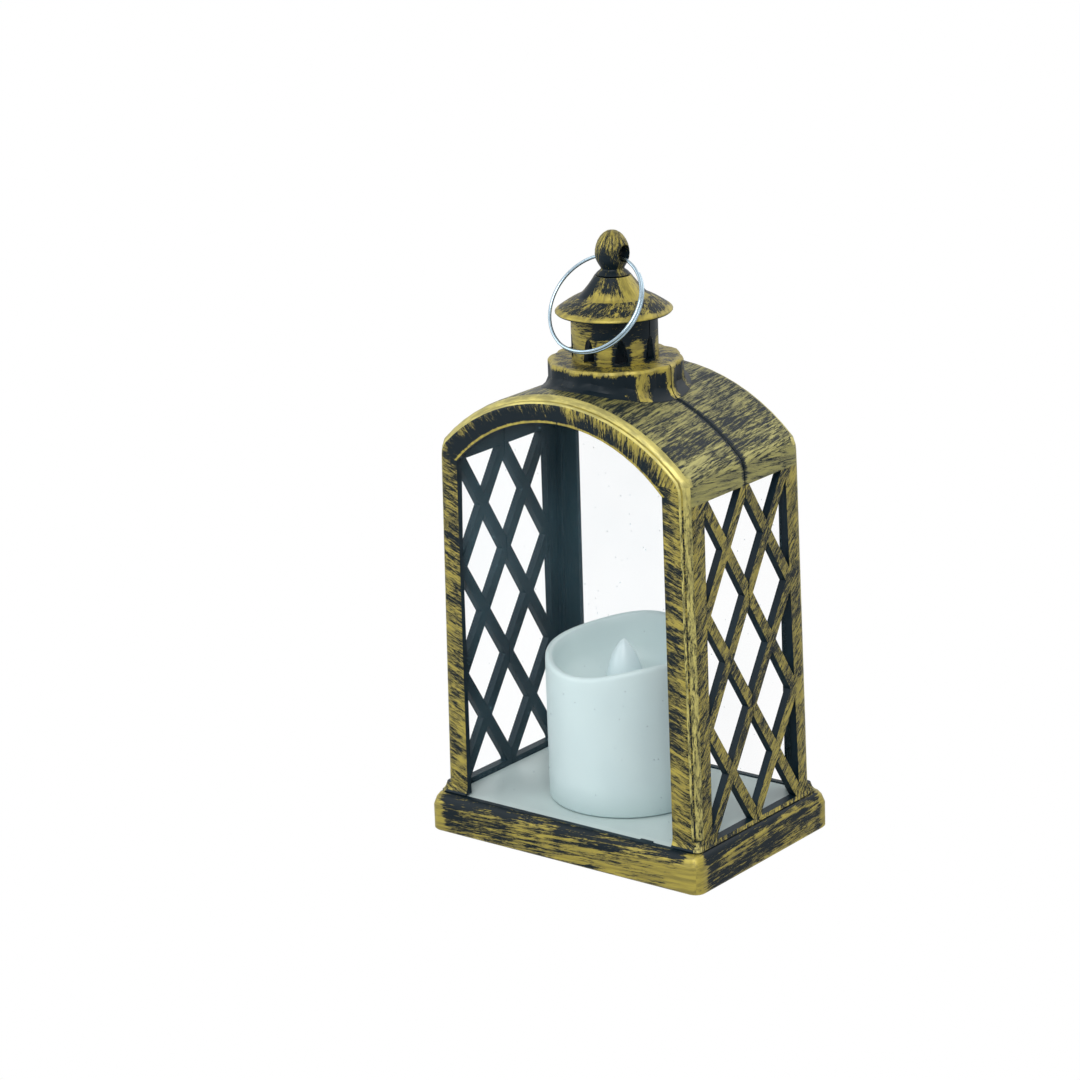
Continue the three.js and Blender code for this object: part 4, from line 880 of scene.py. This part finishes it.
# The ring's blue tint is a painted reflection over plain steel grey.
ring_steel_blue_reflection = metal("ring_steel_blue_reflection", linear(146, 168, 182), linear(176, 194, 204), (0.12, 0.26), 900.0, 3.0)
screw_zinc = metal("screw_zinc", linear(128, 132, 134), linear(176, 180, 182), (0.3, 0.5), 1500.0, 4.0)
nickel = metal("cell_nickel", linear(196, 200, 202), linear(168, 172, 176), (0.22, 0.36), 1800.0, 4.0)
print("Metals:", ring_steel_blue_reflection.name, screw_zinc.name, nickel.name)

# %% [markdown]
# The split ring is spring steel wire wound about one and a half turns, like a key ring. It could be drawn by
# hand, but its shape follows a rule, so Geometry Nodes make it: a line is bent into a helix by its own
# parameter and given a round section. It hangs from the hole in the finial and leans on the brim.


# %% Helpers for Geometry Nodes
def tree_sockets(tree, numbers):
    """Gives a Geometry Nodes tree number inputs and a Geometry output."""
    inputs = [(name, "Float", value) for name, value in numbers]
    return group_sockets(tree, inputs, [("Geometry", "Geometry")])


def put_out(tree, geometry, finish, out):
    """Ends a tree: real geometry with its material."""
    real = node(tree, "GeometryNodeRealizeInstances", {"Geometry": geometry})
    painted = node(tree, "GeometryNodeSetMaterial", {"Geometry": real.outputs[0], "Material": finish})
    feed(tree, out, {"Geometry": painted.outputs[0]})


def grown(name, tree, values, start=None):
    """An object whose mesh a Geometry Nodes tree makes. values go to the tree's named inputs."""
    piece = placed(name, start or bpy.data.meshes.new(name))
    modifier = piece.modifiers.new(name, "NODES")
    modifier.node_group = tree
    for item in tree.interface.items_tree:
        if item.in_out == "INPUT" and item.name in values:
            modifier[item.identifier] = values[item.name]
    return baked(piece)


# %% Wound ring
def ring_tree(finish):
    """A helix round the Y axis that starts at the origin, on top of the ring."""
    tree = bpy.data.node_groups.new("Wound ring", "GeometryNodeTree")
    given, out = tree_sockets(tree, [("Radius", 0.01), ("Wire", 0.001), ("Start", 0.0), ("End", 6.0),
                                     ("Pitch", 0.001)])
    line = node(tree, "GeometryNodeCurvePrimitiveLine")
    fine = node(tree, "GeometryNodeResampleCurve", {"Curve": line.outputs[0], "Count": 180})
    along = node(tree, "GeometryNodeSplineParameter").outputs["Factor"]
    sweep = minus(tree, given["End"], given["Start"])
    angle = calc(tree, "MULTIPLY_ADD", along, sweep, given["Start"])
    across = times(tree, calc(tree, "SINE", angle), given["Radius"])
    down = times(tree, minus(tree, calc(tree, "COSINE", angle), 1.0), given["Radius"])
    turns = minus(tree, calc(tree, "DIVIDE", angle, 2 * math.pi), 1.0)
    beside = times(tree, times(tree, turns, given["Pitch"]), -1.0)
    helix = joined(tree, across, beside, down)
    bent = node(tree, "GeometryNodeSetPosition", {"Geometry": fine.outputs[0], "Position": helix})
    half_wire = calc(tree, "DIVIDE", given["Wire"], 2.0)
    section = node(tree, "GeometryNodeCurvePrimitiveCircle", {"Resolution": 14, "Radius": half_wire})
    parts = {"Curve": bent.outputs[0], "Profile Curve": section.outputs[0], "Fill Caps": True}
    tube = node(tree, "GeometryNodeCurveToMesh", parts)
    smooth = node(tree, "GeometryNodeSetShadeSmooth", {"Geometry": tube.outputs[0]})
    put_out(tree, smooth.outputs[0], finish, out)
    return tree


# %% Split ring
RING_LEAN = math.radians(36)
ring_joint = next(joint for joint in frame["joints"] if joint["name"] == "ring_swing")
ring = grown("key_ring", ring_tree(ring_steel_blue_reflection),
             {"Radius": 12.9 * MM, "Wire": 0.84 * MM, "Start": math.radians(43.3),
              "End": math.radians(567.6), "Pitch": 0.87 * MM})
ring.data.transform(Matrix.Translation(ring_joint["pos_m"]) @ Matrix.Rotation(-RING_LEAN, 4, "X"))
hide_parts("split_ring")
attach(ring, "ring")
tell(ring)

# %% [markdown]
# Behind each arch is a clear pane, which shows only as a slight haze with a few specks. A sheet this thin
# hardly refracts, so Alpha can stand in for transmission: low all over, a little higher in the haze, and
# high in the specks.

# %% Panes
pane_finish, pane_tree, pane_shader, pane_place = new_finish("pane_clear", Roughness=0.12)
pane_shader.inputs["Base Color"].default_value = linear(150, 200, 218)
haze = ramp(pane_tree, noise(pane_tree, pane_place, 25.0, 3.0, 0.55), 0.3, 0.75, 0.01, 0.035)
speck_cells = node(pane_tree, "ShaderNodeTexVoronoi", {"Vector": pane_place, "Scale": 260.0})
specks = ramp(pane_tree, speck_cells.outputs["Distance"], 0.03, 0.07, 0.35, 0.0)
feed(pane_tree, pane_shader, {"Alpha": plus(pane_tree, haze, specks)})
for side in ("front", "back"):
    refinished(frame["nodes"][f"{side}_pane"].data, pane_finish)
    print("The", side, "pane is clear")

# %% [markdown]
# Five screws hold the cover and the door. One is modelled, and Geometry Nodes set a copy on each place, each
# turned a little further, as real screws end up. A Boolean modifier cuts the cross recess, because a cut
# keeps its corners sharp.

# %% One screw
SCREW_HEAD = 2.1 * MM
SCREW_SHANK = 0.9 * MM
SCREW_EDGE = 0.3 * MM
RECESS = (2.4 * MM, 0.5 * MM)


def cross_cutter(depth):
    """Two crossed bars, which cut the recess."""
    arms = bmesh.new()
    for turn in (0, math.pi / 2):
        size = Matrix.Diagonal((*RECESS, depth, 1))
        bmesh.ops.create_cube(arms, size=1, matrix=Matrix.Rotation(turn, 4, "Z") @ size)
    return formed("cross", arms)


def screw_pattern(name, head, length):
    """One screw, head down, with a cross recess."""
    profile = [(0, 0, 0), (SCREW_HEAD - SCREW_EDGE, 0, 0),
               (SCREW_HEAD - SCREW_EDGE * 0.3, SCREW_EDGE * 0.3, 0), (SCREW_HEAD, SCREW_EDGE * 0.9, 0),
               (SCREW_HEAD, head, 0), (SCREW_SHANK, head, 0), (SCREW_SHANK, length - MM, 0), (0, length, 0)]
    screw = turned(name, profile, 40, screw_zinc)
    cutter = cross_cutter(head)
    cut = screw.modifiers.new("Cross", "BOOLEAN")
    cut.operation = "DIFFERENCE"
    cut.object = cutter
    cut.use_self = True
    baked(screw)
    refinished(screw.data, screw_zinc)
    for face in screw.data.polygons:
        face.use_smooth = False
    bpy.data.objects.remove(cutter)
    return screw


# %% Screws at their places
TURN_BETWEEN = 0.6


def screws_tree(pattern):
    tree = bpy.data.node_groups.new("Screws at places", "GeometryNodeTree")
    tree.interface.new_socket("Geometry", in_out="INPUT", socket_type="NodeSocketGeometry")
    given, out = tree_sockets(tree, [("Turn between", TURN_BETWEEN)])
    turn = times(tree, node(tree, "GeometryNodeInputIndex").outputs[0], given["Turn between"])
    source = node(tree, "GeometryNodeObjectInfo", {"Object": pattern})
    inputs = {"Points": given["Geometry"], "Instance": source.outputs["Geometry"],
              "Rotation": joined(tree, 0.0, 0.0, turn)}
    copies = node(tree, "GeometryNodeInstanceOnPoints", inputs)
    put_out(tree, copies.outputs[0], screw_zinc, out)
    return tree


def set_screws(name, nodes, body, head):
    boxes = [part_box(n) for n in nodes]
    feet = [((low.x + high.x) / 2, (low.y + high.y) / 2, low.z) for low, high in boxes]
    tall = boxes[0][1].z - boxes[0][0].z
    pattern = screw_pattern(f"{name}_pattern", head, tall)
    places = bpy.data.meshes.new(name)
    places.from_pydata(feet, [], [])
    piece = grown(name, screws_tree(pattern), {"Turn between": TURN_BETWEEN}, places)
    bpy.data.objects.remove(pattern)
    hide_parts(*nodes)
    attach(piece, body)
    tell(piece)


set_screws("cover_screws", [f"base_screw_{n}" for n in range(1, 5)], "lantern", head=1.3 * MM)
set_screws("door_fixing", ["door_screw"], "door", head=0.45 * MM)

# %% [markdown]
# The underside is plain moulded plastic: a cover with a battery door in it. Both are bevelled copies like the
# housing, with the same finish on the bevels.

# %% Base cover and battery door
for node_name, name, body in (("base_cover", "cover_plate", "lantern"),
                              ("battery_door", "door_plate", "door")):
    piece = dressed(node_name, name, [cover_plastic, cover_plastic], lambda p, n: 0, 0.15 * MM, body)

# %% [markdown]
# The door has ribs, so that a fingertip can grip it. They are one rib that Geometry Nodes repeat on a line,
# and they ride on the door.

# %% Grip ribs
RIB_INSET = 7.5 * MM
door_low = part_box("battery_door")[0]


def ribs_tree(finish):
    tree = bpy.data.node_groups.new("Grip ribs", "GeometryNodeTree")
    given, out = tree_sockets(tree, [("Length", 0.01), ("Width", 0.001), ("Height", 0.001),
                                     ("Step", 0.002), ("Count", 5.0)])
    step = joined(tree, 0.0, given["Step"], 0.0)
    line = node(tree, "GeometryNodeMeshLine", {"Count": given["Count"], "Offset": step})
    size = joined(tree, given["Length"], given["Width"], given["Height"])
    bar = node(tree, "GeometryNodeMeshCube", {"Size": size})
    inputs = {"Points": line.outputs[0], "Instance": bar.outputs[0]}
    copies = node(tree, "GeometryNodeInstanceOnPoints", inputs)
    put_out(tree, copies.outputs[0], finish, out)
    return tree


ribs = grown("door_ribs", ribs_tree(cover_plastic),
             {"Length": 9 * MM, "Width": 0.5 * MM, "Height": 0.4 * MM, "Step": 1.4 * MM, "Count": 5.0})
ribs.data.transform(Matrix.Translation((0, door_low.y + RIB_INSET, door_low.z)))
round_ribs = ribs.modifiers.new("Bevel", "BEVEL")
round_ribs.width = 0.12 * MM
baked(ribs)
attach(ribs, "door")
tell(ribs)

# %% [markdown]
# What is inside hardly shows, so it keeps its CAD shape and only gets the finish of the real thing: nickelled
# cell and contacts, a coated green board, clear LED resin, and insulated leads.

# %% Inner pieces
board_green = moulded("board_green", linear(40, 104, 60), linear(30, 88, 50), 0.35)
led_resin = moulded("led_resin", linear(242, 236, 214), linear(232, 224, 198), 0.15, 0.002 * MM)
red_lead = moulded("red_lead", linear(168, 34, 28), linear(148, 28, 24), 0.4)
black_lead = moulded("black_lead", linear(30, 30, 32), linear(22, 22, 24), 0.4)
inner_finishes = {
    "coin_cell": nickel, "contact_negative": nickel, "contact_positive": nickel,
    "led_board": board_green, "flame_led": led_resin, "lead_negative": black_lead,
    "lead_positive": red_lead, "lead_switch": red_lead, "candle_core": floor_white_painted_shade,
    "switch_body": cover_plastic, "switch_knob": cover_plastic,
}
for name, finish in inner_finishes.items():
    refinished(frame["nodes"][name].data, finish)
print("Inner pieces finished:", len(inner_finishes))

# %% [markdown]
# The stage is a pale floor under soft lamps. The photograph has a plain white ground, so camera and
# transmission rays see the floor as white, while the lantern is lit by its ordinary grey. It is clear from
# below, and for rays that start right above it, so that a view from there shows the cover.

# %% Floor
FLOOR_REACH = 2.5
FLOOR_HEIGHT = -0.05 * MM
corners = [(x * FLOOR_REACH, y * FLOOR_REACH, FLOOR_HEIGHT) for x, y in ((-1, -1), (1, -1), (1, 1), (-1, 1))]
floor_mesh = bpy.data.meshes.new("floor")
floor_mesh.from_pydata(corners, [], [(0, 1, 2, 3)])
floor = placed("floor", floor_mesh)


# %% Floor finish
def blend(tree, share, a, b):
    """Mix of two shaders."""
    return node(tree, "ShaderNodeMixShader", {0: share, 1: a.outputs[0], 2: b.outputs[0]})


floor_finish, floor_tree, floor_shader, _ = new_finish("floor_pale", Roughness=0.9, Specular_IOR_Level=0.0)
floor_shader.inputs["Base Color"].default_value = linear(236, 236, 236)
white = node(floor_tree, "ShaderNodeEmission", {"Color": (1, 1, 1, 1), "Strength": 1.0})
rays = node(floor_tree, "ShaderNodeLightPath").outputs
see_white = larger(floor_tree, rays["Is Camera Ray"], rays["Is Transmission Ray"])
seen = blend(floor_tree, see_white, floor_shader, white)
clear = node(floor_tree, "ShaderNodeBsdfTransparent")
under = node(floor_tree, "ShaderNodeNewGeometry").outputs["Backfacing"]
near = calc(floor_tree, "LESS_THAN", rays["Ray Length"], 2 * MM)
one_sided = blend(floor_tree, larger(floor_tree, under, near), seen, clear)
feed(floor_tree, floor_tree.nodes["Material Output"], {"Surface": one_sided.outputs[0]})
floor_mesh.materials.append(floor_finish)
print("Floor is", 2 * FLOOR_REACH, "m wide")

# %% [markdown]
# The world works in the same way. Rays from the camera, and those that mirrors and glass send on, see a white
# room, which gives the steel its bright reflections. Its other light is dim and slightly cool, so that the
# lamps shape the lantern.

# %% World
world = bpy.data.worlds.new("studio")
bpy.context.scene.world = world
world.use_nodes = True
sky = world.node_tree
sky.nodes.clear()
paths = node(sky, "ShaderNodeLightPath").outputs
straight = larger(sky, paths["Is Camera Ray"], paths["Is Transmission Ray"])
plain = larger(sky, straight, paths["Is Glossy Ray"])
dim = node(sky, "ShaderNodeBackground", {"Color": (0.93, 0.97, 1.0, 1), "Strength": 0.5})
bright = node(sky, "ShaderNodeBackground", {"Color": (1, 1, 1, 1), "Strength": 1.0})
node(sky, "ShaderNodeOutputWorld", {0: blend(sky, plain, dim, bright).outputs[0]})

# %% [markdown]
# Three large area lamps give soft light without hard shadows: a key from the front right and above, a cooler
# fill from the left, and one behind that draws the roof's edge.

# %% Lamps
MIDDLE = (0, 0, 0.07)


def lamp(name, place, size, power, colour=(1, 1, 1)):
    light = bpy.data.lights.new(name, "AREA")
    light.size = size
    light.energy = power
    light.color = colour
    holder = placed(name, light)
    holder.location = place
    holder.rotation_euler = (Vector(MIDDLE) - Vector(place)).to_track_quat("-Z", "Y").to_euler()
    print(name, "lamp of", power, "W")


lamp("key", (0.3, -0.6, 0.75), 0.5, 5.0)
lamp("fill", (-0.6, -0.6, 0.4), 0.6, 2.6, (0.94, 0.98, 1))
lamp("back", (0.3, 0.7, 0.6), 0.6, 1.6)

# %% [markdown]
# The camera stands where the photographer stood. It was fitted to the lantern's corners, arch and circles,
# because a guess by eye leaves edges a few pixels off. Its axes are the picture's right, its up, and the
# line from the lantern back to the camera.

# %% Camera
CAMERA_PLACE = Vector((0.509717, -0.674684, 0.334492))
CAMERA_RIGHT = Vector((0.789490, 0.612752, -0.035228))
CAMERA_UP = Vector((-0.152089, 0.250917, 0.955986))
FOCAL_PIXELS = 3554.2
PHOTO_PIXELS = 1080
lens = bpy.data.cameras.new("camera")
lens.sensor_width = 36
lens.lens = FOCAL_PIXELS / PHOTO_PIXELS * lens.sensor_width
camera = placed("camera", lens)
axes = Matrix((CAMERA_RIGHT, CAMERA_UP, CAMERA_RIGHT.cross(CAMERA_UP))).transposed()
camera.matrix_world = Matrix.Translation(CAMERA_PLACE) @ axes.to_4x4()
bpy.context.scene.camera = camera
bpy.context.scene.view_settings.view_transform = "Standard"
print("Lens of", round(lens.lens, 1), "mm")
